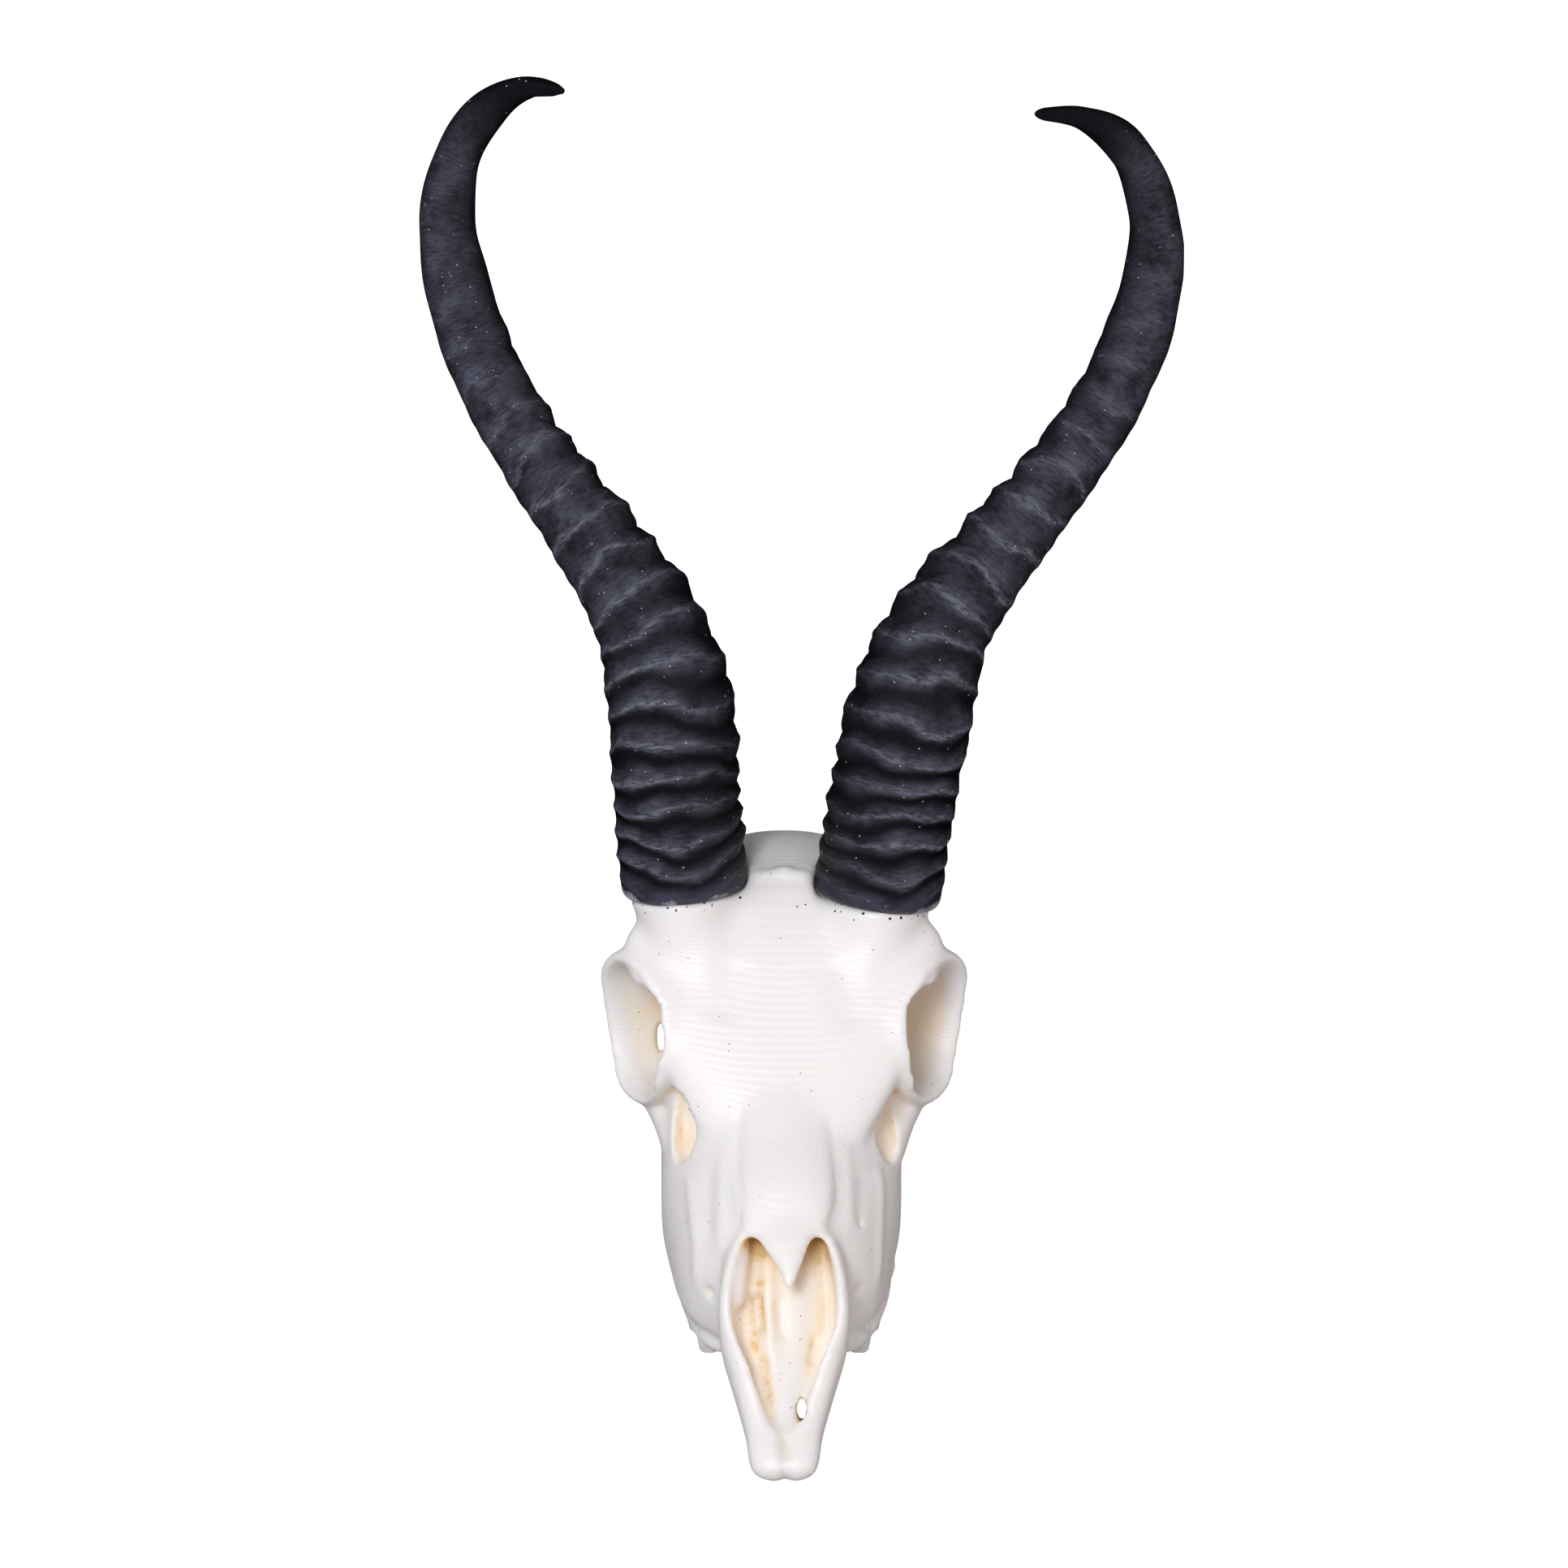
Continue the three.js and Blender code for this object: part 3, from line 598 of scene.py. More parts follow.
def horn_room(side):
    """What the horn takes up above its pedicle."""
    start = HORN_BASE[side]
    line = [start, start + 5 * HORN_AXIS[side], start + 11 * HORN_AXIS[side]]
    return sweep(line, lambda t: (5.75, 6.3), blunt=0, around=64)


carve(skull, [
    sweep(
        [[0, 14.5, 2.4], [0, 21, 2.8], [0, 30, 3.0], [0, 42, 3.2]],
        lambda t: (3.2 + 2.2 * smooth(t, 0, 0.35), 1.7 + 0.5 * t), blunt=0.4,
    ),
    sweep([[0, 37.5, 6.0], [0, 47, 7.0]], lambda t: (2.6, 2.6), blunt=0.6),
    lump([0, 66.2, 11.8], [2.3, 3.4, 2.1]),
    sweep([[0.1, 0.4, 2.6], [0.1, 2.0, 3.0]], lambda t: (0.42, 3.4), blunt=0.4),
    sweep([[0.1, 0.9, 4.7], [0.1, 3.0, 5.3], [0.1, 5.4, 6.0]], lambda t: (0.5, 0.6), blunt=0.4),
    sweep([[0.1, 1.6, 5.3], [0.1, 4.0, 5.6], [0.1, 6.8, 6.3]], lambda t: (0.45 + 0.6 * t, 0.85)),
    *[
        body
        for side in (-1, 1)
        for body in (
            lump([10.6 * side, 40.3, 20.2], [6.8, 5.4, 5.7], yaw=-20 * side, pitch=-12),
            horn_room(side),
        )
    ],
])
join_in(skull, [socket_rim(-1), socket_rim(1)])
skin(skull, SECOND_NET)
# Nothing reaches below the table.
carve(skull, [block([-60, -20, -20], [60, 90, 0])])
print("carved skull:", len(skull.data.polygons), "faces")

# %% [markdown]
# A voxel net keeps the creases between forms. On the casting they have melted into each other, as wax
# does, so the net is smoothed. Smoothing alone would shrink it: each pass that pulls a point towards
# its neighbours is followed by one that pushes back a little further.


# %% Melting the creases
def points_of(mesh):
    flat = np.empty(len(mesh.vertices) * 3)
    mesh.vertices.foreach_get("co", flat)
    return flat.reshape(-1, 3)


def keep_on(piece, name, values):
    """Keeps a number or a vector for each point on the mesh, for a material to read."""
    kind, field = ("FLOAT", "value") if values.ndim == 1 else ("FLOAT_VECTOR", "vector")
    attribute = piece.data.attributes.new(name, kind, "POINT")
    attribute.data.foreach_set(field, values.astype(np.float32).ravel())


def put_points(mesh, points):
    mesh.vertices.foreach_set("co", points.ravel())
    mesh.update()


def normals_of(mesh):
    flat = np.empty(len(mesh.vertices) * 3, np.float32)
    mesh.vertex_normals.foreach_get("vector", flat)
    return flat.reshape(-1, 3).astype(float)


def melt(piece, passes, keep=None, shrink=0.5, swell=0.52):
    """Evens out the net. keep, from 0 to 1 for each point, holds it where it is."""
    mesh = piece.data
    edges = np.empty(len(mesh.edges) * 2, int)
    mesh.edges.foreach_get("vertices", edges)
    a, b = edges.reshape(-1, 2).T
    count = np.bincount(np.concatenate([a, b]), minlength=len(mesh.vertices))[:, None]
    free = 1.0 if keep is None else (1 - keep)[:, None]
    points = points_of(mesh)
    for _ in range(passes):
        for step in (shrink, -swell):
            total = np.stack([
                np.bincount(a, points[b, k], len(points)) + np.bincount(b, points[a, k], len(points))
                for k in range(3)
            ], -1)
            points = points + step * free * (total / count - points)
    put_points(mesh, points)


def from_horn(side, points):
    """How far each point lies below the foot of a horn, and how far to the side of its axis."""
    away = points - HORN_BASE[side]
    return -away @ HORN_AXIS[side], np.linalg.norm(np.cross(away, HORN_AXIS[side]), axis=1)


melt(skull, 9)
melt(skull, 2, swell=0.0)
# The root of the nasal bones runs into the forehead without a step.
spots = points_of(skull.data)
root = smooth(-np.abs(spots[:, 0]), -9.0, -6.0) * smooth(spots[:, 2], 15.5, 18.0)
root = root * smooth(spots[:, 1], 23, 28) * (1 - smooth(spots[:, 1], 44, 50))
melt(skull, 45, keep=1 - root)
melt(skull, 6, keep=1 - root, swell=0.0)
# So does the forehead into the cores of the horns, down from just below each horn.
brow = smooth(spots[:, 2], 22, 25) * smooth(spots[:, 1], 32, 37) * (1 - smooth(spots[:, 1], 52, 56))
brow *= smooth(-np.abs(spots[:, 0]), -12.5, -10.0)
for side in (-1, 1):
    below, beside = from_horn(side, spots)
    brow *= np.maximum(smooth(below, 0.2, 1.4), smooth(beside, 6.5, 8.0))
melt(skull, 36, keep=1 - brow, swell=0.0)

# %% [markdown]
# Sharp-edged hollows come after the melting: the pocket in front of each eye, the gap at the back
# of the left socket that light shines through, and the two slots in the palate behind the prongs.
# Their places are read off the photograph, in pixels of its 1932 by 1932 frame, and found on the bone
# by looking from the camera. The cutters lie along that line of sight. The last net is laid here, as
# fine as a piece of under 200,000 triangles allows. It closes the left slot again, which is narrower
# than the right one.

# %% Hollows along the line of sight
FRAME_MIDDLE = 966
PIXELS = 8275.9  # the camera's focal length in those pixels
sideways = np.array([1.0, 0.0, 0.0])
upwards = np.cross(towards_eye, sideways)


def tree_of(piece):
    bm = bmesh.new()
    bm.from_mesh(piece.data)
    tree = BVHTree.FromBMesh(bm)
    bm.free()
    return tree


def seen(tree, px, py):
    """The bench point that the camera sees at a place in the photograph's frame."""
    across, up = (px - FRAME_MIDDLE) / PIXELS, (FRAME_MIDDLE - py) / PIXELS
    ray = across * sideways + up * upwards - towards_eye
    return tree.ray_cast(Vector(EYE), Vector(ray).normalized())[0]


def scoop(tree, place, half):
    """An egg centred on the surface. half gives its half axes across, up and in, as seen."""
    centre = np.array(seen(tree, *place))
    view = np.array([sideways, upwards, towards_eye])

    def egg(turn, share):
        return globe(turn, share)[:, [0, 2, 1]] * half @ view + centre

    return ball(egg, 48, 40)


def bore(tree, place, half, length):
    """A straight hole from the surface along the line of sight."""
    start = np.array(seen(tree, *place)) + towards_eye
    return sweep([start, start - length * towards_eye], lambda t: half, blunt=0, around=48, along=12)


tree = tree_of(skull)
# Scoops have a place and half axes in mm, bores a place, two half widths and a length.
carve(skull, [
    # A pocket is two scoops, one over the other.
    scoop(tree, (843, 1382), (1.9, 3.6, 2.2)),
    scoop(tree, (840, 1402), (1.9, 2.2, 1.3)),
    scoop(tree, (1092, 1384), (1.7, 3.5, 2.2)),
    scoop(tree, (1096, 1402), (1.7, 2.2, 1.3)),
    # The gap of the left socket, and the two slots.
    bore(tree, (812, 1284), (0.4, 1.6), 26),
    bore(tree, (950, 1741), (0.36, 0.75), 14),
    bore(tree, (988, 1739), (0.45, 1.05), 14),
])
skin(skull, LAST_NET)
melt(skull, 3)
print("with its pockets:", len(skull.data.polygons), "faces")

# %% [markdown]
# The carver's marks come next: grooves along the seams of the nasal bones, soft ridges on the cheeks,
# small holes for nerves. Each is a stroke on the surface, with its places found in the same way. The
# points within the stroke's width move along their normals.

# %% Strokes
def line_of(tree, places):
    """A smooth line on the surface through places in the photograph's frame."""
    hits = [seen(tree, px, py) for px, py in places]
    hits = [list(h) for h in hits if h is not None]
    if len(hits) > 1:
        return curve(hits)(np.linspace(0, 1, 12 * len(hits)))[0]
    return np.array(hits)


def reach_of(points, line):
    """How far each point lies from a line, and at what share of it."""
    near = np.full(len(points), np.inf)
    along = np.zeros(len(points))
    for i, spot in enumerate(line):
        distance = np.linalg.norm(points - spot, axis=1)
        closer = distance < near
        near[closer] = distance[closer]
        along[closer] = i / max(len(line) - 1, 1)
    return near, along


def stroke(piece, tree, places, width, height):
    """Raises the surface by height along a line of places, or lowers it, fading out over width."""
    mesh = piece.data
    points, normals = points_of(mesh), normals_of(mesh)
    line = line_of(tree, places)
    near, along = reach_of(points, line)
    fade = np.exp(-(near / width * 1.6) ** 2)
    if len(line) > 1:
        fade *= smooth(along, -0.02, 0.2) * (1 - smooth(along, 0.8, 1.02))
    put_points(mesh, points + normals * (height * fade)[:, None])


tree = tree_of(skull)
STROKES = [
    # The seams beside the nasal bones.
    ([(916, 1360), (911, 1390), (909, 1430), (912, 1482), (906, 1520)], 0.8, -0.2),
    ([(1020, 1370), (1025, 1400), (1029, 1440), (1033, 1490)], 0.8, -0.12),
    # Ridges and valleys down the cheeks.
    ([(846, 1440), (853, 1490), (858, 1540), (862, 1600)], 1.3, 0.22),
    ([(872, 1430), (872, 1480), (874, 1540)], 1.5, -0.18),
    ([(892, 1400), (890, 1460), (888, 1510), (890, 1560)], 1.2, 0.18),
    ([(1080, 1430), (1085, 1470), (1084, 1530), (1076, 1600)], 1.3, 0.22),
    ([(1064, 1440), (1062, 1480), (1060, 1505)], 1.5, -0.15),
    ([(1042, 1400), (1046, 1460), (1046, 1520)], 1.2, 0.16),
    # Holes for the nerves of the lips, and a pit.
    ([(874, 1593)], 0.8, -0.5),
    ([(1057, 1591)], 0.8, -0.5),
    ([(1061, 1506)], 0.6, -0.35),
    # The brow's crest with its bump.
    ([(925, 1080), (945, 1078), (965, 1075), (985, 1078), (1003, 1082)], 1.0, 0.35),
    ([(966, 1076)], 1.1, 0.3),
    # Faint furrows below each horn.
    ([(905, 1180), (898, 1220), (884, 1262)], 2.6, -0.18),
    ([(1030, 1180), (1040, 1220), (1058, 1275)], 2.6, -0.18),
    # Inside the nose: a deeper oval on the left, a furrow right of the ridge, grooves by the walls.
    ([(930, 1590), (932, 1615), (936, 1650)], 1.0, -0.6),
    ([(957, 1595), (960, 1622), (964, 1655)], 0.8, -0.3),
    ([(938, 1665), (944, 1700), (950, 1735)], 0.6, -0.35),
    ([(1006, 1640), (998, 1685), (990, 1730)], 0.6, -0.35),
    # The furrow between the prongs.
    ([(967, 1765), (967, 1790), (968, 1814)], 0.8, -0.35),
]
for places, width, height in STROKES:
    stroke(skull, tree, places, width, height)
print("strokes:", len(STROKES))

# %% [markdown]
# The cheek teeth are cast with the bone but read as pieces of their own: six to a side, each with two
# lobes on its outer side, worn level below. A finer net keeps their edges.

# %% Teeth
TOOTH_TOP = 2.7
TOOTH_NET = 0.16  # the width of its meshes, mm
ROOT = 0.9  # how far a crown runs up into the bone
TEETH = [
    # Its place along Y, its place to the side, its length and its width, from the front one back.
    [20.9, 6.7, 2.5, 2.4], [23.7, 7.6, 2.9, 2.5], [26.9, 8.3, 3.2, 2.7],
    [30.5, 8.75, 3.7, 2.9], [34.5, 8.9, 3.9, 3.0], [38.6, 8.7, 3.9, 2.8],
]


def crown(side, y, x, length, width):
    """Two lobes outside, a neck near the bone, and a hollowed chewing face."""
    def place(turn, share):
        s, c = np.sin(2 * np.pi * turn), np.cos(2 * np.pi * turn)
        up = np.clip((share - 0.25) / 0.5, 0, 1)
        reach = np.where(share < 0.25, share / 0.25, np.where(share > 0.75, (1 - share) / 0.25, 1))
        taper = (0.92 + 0.1 * up - 0.2 * smooth(up, 0.55, 1.0)) * reach
        out, forward = sharpened(c, 0.75), sharpened(s, 0.75)
        groove = 0.4 * np.exp(-((forward / 0.35) ** 2)) * np.abs(out)
        dish = 0.45 * (1 - reach ** 2) * (share > 0.75)
        return np.stack([
            (x + (width / 2 * out - groove * np.sign(out)) * taper) * side,
            y + (length / 2 + 0.22) * forward * taper,
            (TOOTH_TOP + ROOT) * (1 - up) + dish,
        ], -1)
    return ball(place, 72, 48)


teeth = {}
for word, side in SIDES.items():
    line = [[x * side, y, 1.7] for y, x, *_ in TEETH]
    neck = sweep(line, lambda t: (0.7 + 0.3 * t, 0.95), blunt=0.3)
    row = on_bench(f"resin_teeth_{word}", [crown(side, *tooth) for tooth in TEETH] + [neck])
    skin(row, TOOTH_NET)
    melt(row, 12)
    # The melting may leave points a little below the table, so the crowns are worn level again.
    points = points_of(row.data)
    points[:, 2] = np.maximum(points[:, 2], 0.0)
    put_points(row.data, points)
    teeth[side] = row
    print(row.name, len(row.data.polygons), "faces")

# %% [markdown]
# A springbok ram's horns are ringed on their inner and front sides and smooth outside. The rings sit
# close near the base and are longer higher up, where each is a scallop that rises slowly and drops
# into a notch. A fine net swept along the horn's middle line is raised and lowered ring by ring.

# %% Horns
# At even steps from the foot to the tip, mm.
HORN_HALF_WIDTH = [5.7, 5.6, 5.6, 4.75, 3.95, 3.4, 3.15, 3.0, 2.5, 2.05, 1.75, 1.1, 0.4]
RINGS = 20
RING_PITCH = [2.3, 4.0]  # mm, near the base and higher up
RING_HEIGHT = [0.5, 0.85]
FOOT_SUNK = 0.1  # how far the foot reaches down past the pedicle's top
FOOT_EDGE, EDGE_ROWS = 1.2, 8  # the round edge of the foot: its radius and its rows
FOOT_INSETS = [5.0, 3.0, 1.6]  # how far in the rows across the foot lie
TIP_ROUND = 1.1  # over what length the tip closes, mm
ring_pitch = RING_PITCH[0] + (RING_PITCH[1] - RING_PITCH[0]) * smooth(np.arange(RINGS), 3, 12)
valleys = np.concatenate([[0], np.cumsum(ring_pitch)])


def ring_lift(side, level, front, inner, angle):
    """How far a ring line is pushed up the horn: dished near the base, arched higher up."""
    if side < 0:
        arch = np.interp(level, [0, 10, 18, 40], [-1.1, 0, 0.9, 0.5])
        slope = -0.5 * np.exp(-((level - 8) / 5) ** 2) * 2 * inner * front
    else:
        arch = np.interp(level, [0, 14, 22, 40], [-0.9, 0, 0.3, 0.3])
        slope = -np.interp(level, [0, 20, 60], [0.3, 0.9, 0.6]) * inner
    wave = (
        0.4 * np.sin(2 * angle + 0.37 * level + side)
        + 0.24 * np.sin(3 * angle - 0.53 * level + 2 * side)
        + 0.15 * np.sin(5 * angle + 0.81 * level)
        + 0.08 * np.sin(9 * angle - 1.3 * level + side)
    )
    return arch * np.maximum(front, 0) ** 2 + slope + wave


def horn(word, side, around=120, along=700):
    line = curve(HORN_LINE[side])
    shares = np.linspace(0, 1, 3001)
    places, _ = line(shares)
    steps = np.linalg.norm(np.diff(places, axis=0), axis=1)
    lengths = np.concatenate([[0], np.cumsum(steps)])
    total = lengths[-1]
    heights = (places - HORN_BASE[side]) @ HORN_AXIS[side]
    start = slice(0, len(shares) // 10)  # the line rises steadily over its first tenth
    foot = np.interp(-FOOT_SUNK, heights[start], lengths[start])
    widths = track(np.linspace(0, 1, len(HORN_HALF_WIDTH)), HORN_HALF_WIDTH)
    # Rows: four across the flat foot, some round its edge, the rest up the horn to its tip.
    bend = np.linspace(0, np.pi / 2, EDGE_ROWS)
    level = np.concatenate([
        np.full(1 + len(FOOT_INSETS), foot), foot + FOOT_EDGE * (1 - np.cos(bend)),
        np.linspace(foot + FOOT_EDGE, total, along - EDGE_ROWS - len(FOOT_INSETS))[1:],
    ])
    level = np.concatenate([level, np.full(along + 1 - len(level), total)])
    inset = np.zeros(along + 1)
    inset[1:1 + len(FOOT_INSETS)] = FOOT_INSETS
    inset[1 + len(FOOT_INSETS):][:EDGE_ROWS] = FOOT_EDGE * (1 - np.sin(bend))
    past = np.maximum(level - (total - TIP_ROUND), 0) / TIP_ROUND
    closing = np.sqrt(np.clip(1 - past ** 2, 0, 1))
    rng = np.random.default_rng(11 + side)
    ring_size = rng.uniform(0.8, 1.15, RINGS + 2)
    inward = np.array([-side, -0.35, 0.0])  # and a little forward
    inward /= np.linalg.norm(inward)
    made = {}

    def place(turn, share):
        row = np.round(share * along).astype(int)
        at = level[row]
        t = np.interp(at, lengths, shares)
        centre, heading = line(t)
        angle = 2 * np.pi * turn
        inner, front = np.cos(angle), np.sin(angle) * side
        inward_side, forward = np.maximum(inner, 0), np.maximum(front, 0)
        lifted = at - ring_lift(side, at, front, inner, angle)
        ring = np.clip(np.searchsorted(valleys, lifted, side="right") - 1, 0, RINGS - 1)
        phase = np.clip((lifted - valleys[ring]) / (valleys[ring + 1] - valleys[ring]), 0, 1)
        number = ring + phase
        high = smooth(number, 8, 12)
        fade = 1 - smooth(number, 12, RINGS)
        low_fade = 0.45 + 0.55 * smooth(at, 3, 8)
        # Broad lobes with sharp notches on the inner side, thin ridges over wide troughs in front.
        thin = 2.3 - 1.7 * inward_side ** 0.8
        peak = 0.62 + 0.55 * inward_side ** 0.8
        broad = np.sin(np.pi * phase ** peak) ** thin
        lip = np.exp(-(((phase ** peak - 0.5) / 0.085) ** 2)) * (1 - 0.5 * inward_side)
        crest = 0.72 * broad + 0.42 * lip
        facing = (0.5 + 0.5 * inner) ** 1.5
        frontal = forward ** 0.8 * (0.72 - 0.45 * high) * (1 + 0.5 * np.minimum(inner, 0))
        share_of_ring = np.maximum(facing, frontal) + 0.2 * (1 - high) * (1 - facing)
        height = (RING_HEIGHT[0] + (RING_HEIGHT[1] - RING_HEIGHT[0]) * high) * ring_size[ring]
        uneven = 1 - 0.35 * (1 - inward_side) * (0.5 + 0.5 * np.sin(2.3 * angle + 1.9 * ring))
        bump = height * uneven * fade * low_fade * (crest - (0.7 - 0.16 * thin)) * share_of_ring
        # Unevenness of the hand, from just above the foot.
        bump = bump + 0.06 * np.sin(4 * angle + 0.9 * at) * smooth(at, 2, 6)
        ripple = 0.05 * np.sin(3 * angle - 2.9 * at + np.sin(2 * angle))
        bump = bump + ripple * smooth(at, 2, 6) * fade
        width = widths(t)[0]
        radius = np.maximum(width + bump - inset[row], 0.0) * closing[row]
        radius = np.where((row == 0) | (row == along), 0, radius)
        deeper = 1 + 0.1 * (1 - at / total)
        made["grain"] = np.stack([width * np.cos(angle), width * np.sin(angle), at - foot], -1)
        outer = np.maximum(-inner, 0)
        made["bare"] = np.exp(-(((at - foot) / (1.8 + 0.9 * outer)) ** 2)) * (0.7 + 0.3 * outer)
        # Painted highlight: lighter on the slope just above each ridge, which faces up to the light,
        # and broadly on the upper horn, but not at the tip.
        lit_slope_highlight = smooth(phase, 0.08, 0.4) * (1 - smooth(phase, 0.5, 1.0))
        even = 0.75 * smooth(number, 6, 14)
        lit_slope_highlight = lit_slope_highlight * (1 - even) + even
        # Lighter on the front, which faces the light, and darker towards the edges: painted light.
        towards = 0.14 + 0.86 * forward ** 1.3
        made["crest"] = lit_slope_highlight * towards * (1 - smooth(at / total, 0.84, 0.94))
        # Painted highlight along the thin ridge lines, lighter on the front.
        made["lip"] = lip * fade * low_fade * (0.4 + 0.6 * forward)
        return centre + about(heading, inward, angle, radius, radius * deeper)

    piece = on_bench(f"painted_horn_{word}", [ball(place, around, along)])
    for name, values in made.items():
        keep_on(piece, name, values)
    print(piece.name, len(piece.data.polygons), "faces, length", round(float(total), 1), "mm")
    return piece


horns = {side: horn(word, side) for word, side in SIDES.items()}

# %% [markdown]
# Light that bounces about in a deep hollow of ivory resin comes out golden, and here that warm shade is
# painted into the colour. How deep each point lies is measured with rays: the share of them that meet
# bone close by is kept on the mesh, and the material paints the warm shade by it.


# %% Depth of the hollows
def hollow_of(piece, reach=9.0, rays=18):
    tree = tree_of(piece)
    mesh = piece.data
    points, normals = points_of(mesh), normals_of(mesh)
    k = np.arange(rays) + 0.5
    polar, spin = np.sqrt(k / rays), np.pi * (1 + 5 ** 0.5) * k
    disc = np.stack([polar * np.cos(spin), polar * np.sin(spin), np.sqrt(1 - polar ** 2)], -1)
    helper = np.where(np.abs(normals[:, 2:3]) < 0.9, [[0.0, 0.0, 1.0]], [[1.0, 0.0, 0.0]])
    u = unit(np.cross(normals, helper))
    v = np.cross(normals, u)
    starts = points + normals * 0.05
    met = np.zeros(len(points))
    for ray in disc:
        headings = u * ray[0] + v * ray[1] + normals * ray[2]
        for i, (start, heading) in enumerate(zip(starts.tolist(), headings.tolist())):
            if tree.ray_cast(start, heading, reach)[0] is not None:
                met[i] += 1
    return met / rays


# Painted shade: the share of rays that meet bone, which the material turns into a warm shade.
deep = hollow_of(skull)
keep_on(skull, "hollow_shade", deep)
print("hollow: mean", round(float(deep.mean()), 3), "most", round(float(deep.max()), 3))

# %% [markdown]
# A warm honey shade is painted too along the grooves of the nose, in a few pits and pockets and
# inside the sockets, and the brush that painted the horns left black flecks on the bone below them.
# Both
# are kept on the mesh too: the painted shade as lines read off the photograph, the flecks by how near a
# horn is.

# %% Painted groove shade and flecks
GROOVE_SHADES = [
    # Places along each line of painted shade, its width in mm and its strength.
    ([(915, 1530), (928, 1532), (938, 1540)], 0.9, 0.8),
    ([(927, 1600), (926, 1620), (930, 1650)], 0.35, 0.9),
    ([(935, 1581), (943, 1580)], 0.6, 1.0),
    ([(930, 1655), (938, 1680), (945, 1710), (950, 1748)], 0.5, 1.0),
    ([(1012, 1527), (1018, 1550)], 0.8, 0.45),
    ([(1019, 1590), (1015, 1620), (1006, 1650)], 0.5, 0.35),
    ([(1003, 1655), (997, 1690), (989, 1735)], 0.45, 0.65),
    ([(966, 1770), (967, 1800), (968, 1816)], 0.4, 0.5),
    ([(1061, 1506)], 0.5, 0.7),
    ([(874, 1593)], 0.4, 0.5),
    ([(1057, 1591)], 0.4, 0.5),
    ([(870, 1250)], 2.2, 0.28),
    ([(1060, 1285)], 2.0, 0.32),
    ([(840, 1398), (846, 1405)], 1.1, 0.4),
    ([(960, 1600), (966, 1660)], 2.0, 0.35),
    ([(800, 1215), (798, 1250)], 1.6, 0.5),
    ([(1150, 1215), (1152, 1260)], 2.0, 0.5),
]
tree = tree_of(skull)
spots = points_of(skull.data)
# Painted warm shade, strongest on each line of places and fading out over its width.
groove_shade = np.zeros(len(spots))
for places, width, strength in GROOVE_SHADES:
    near, _ = reach_of(spots, line_of(tree, places))
    groove_shade = np.maximum(groove_shade, strength * np.exp(-((near / width) ** 2)))
keep_on(skull, "groove_shade", groove_shade)
flecks = np.zeros(len(spots))
for side in (-1, 1):
    below, beside = from_horn(side, spots)
    under = smooth(below, -0.6, 0.1) * (1 - smooth(below, 0.5, 2.2))
    flecks = np.maximum(flecks, smooth(beside, 9.0, 7.0) * under)
keep_on(skull, "flecks", flecks)
print("stained points:", int((groove_shade > 0.3).sum()), "flecked:", int((flecks > 0.3).sum()))

# %% [markdown]
# Finished pieces go to their places: from the bench to the frame, in metres, smooth shaded. A crest
# that stands out of the solids' box by a few hundredths of a millimetre is pressed back to it.

# %% Into the frame
for piece in (skull, *teeth.values(), *horns.values()):
    piece.data.transform(Matrix.Translation(BENCH) @ Matrix.Scale(MM, 4))
    put_points(piece.data, np.clip(points_of(piece.data), *[list(corner) for corner in cad_box]))
    piece.data.polygons.foreach_set("use_smooth", np.ones(len(piece.data.polygons), bool))
    piece.data.update()
    triangles = sum(len(p.vertices) - 2 for p in piece.data.polygons)
    print(piece.name, triangles, "triangles")

# %% [markdown]
# The finishes are built from nodes. One function adds a node with its settings and what feeds it, and
# one turns the hex colours, which are as the eye sees them, into the linear values that light needs.


# %% Node tools
def linear(colour):
    """An sRGB hex colour as linear red, green, blue and alpha."""
    parts = [int(colour[i:i + 2], 16) / 255 for i in (1, 3, 5)]
    return [c / 12.92 if c <= 0.04045 else ((c + 0.055) / 1.055) ** 2.4 for c in parts] + [1.0]


def add(tree, kind, feeds=None, **settings):
    """Adds a node. feeds gives its sockets values or links, by name or number."""
    made = tree.nodes.new("ShaderNode" + kind)
    for name, value in settings.items():
        setattr(made, name, value)
    for name, value in (feeds or {}).items():
        if isinstance(value, bpy.types.NodeSocket):
            tree.links.new(value, made.inputs[name])
        else:
            made.inputs[name].default_value = value
    return made


def specks(tree, place, scale, rare, size):
    """Dust: 1 in a small spot in some of the cells, those whose random number is above rare."""
    cells = add(tree, "TexVoronoi", {"Vector": place, "Scale": scale, "Randomness": 1.0})
    chosen = add(tree, "SeparateColor", {"Color": cells.outputs["Color"]}).outputs["Red"]
    few = add(tree, "Math", {0: chosen, 1: rare}, operation="GREATER_THAN").outputs[0]
    distance = cells.outputs["Distance"]
    close = add(tree, "Math", {0: distance, 1: size}, operation="LESS_THAN").outputs[0]
    return add(tree, "Math", {0: few, 1: close}, operation="MULTIPLY").outputs[0]


def laid_over(tree, colour, layers):
    """A colour with hex colours laid over it, one after the other, each by its own share."""
    for share, hex_colour in layers:
        feeds = {0: share, 6: colour, 7: linear(hex_colour)}
        colour = add(tree, "Mix", feeds, data_type="RGBA").outputs[2]
    return colour


def new_finish(name):
    material = bpy.data.materials.new(name)
    material.use_nodes = True
    material.node_tree.nodes.clear()
    return material, material.node_tree


# %% [markdown]
# Cast ivory polyurethane resin: a mould was made from a printed master, so the casting keeps the
# master's layer lines. It gives the eye a milky white that light enters a little, a soft satin gloss,
# fine contour lines where the surface lies nearly along the layers, and here and there a grey speck of
# dust. A warm honey shade is painted into the hollows and grooves.


# %% Ivory resin
LAYER = 0.13  # how thick the drawn layers are, in mm


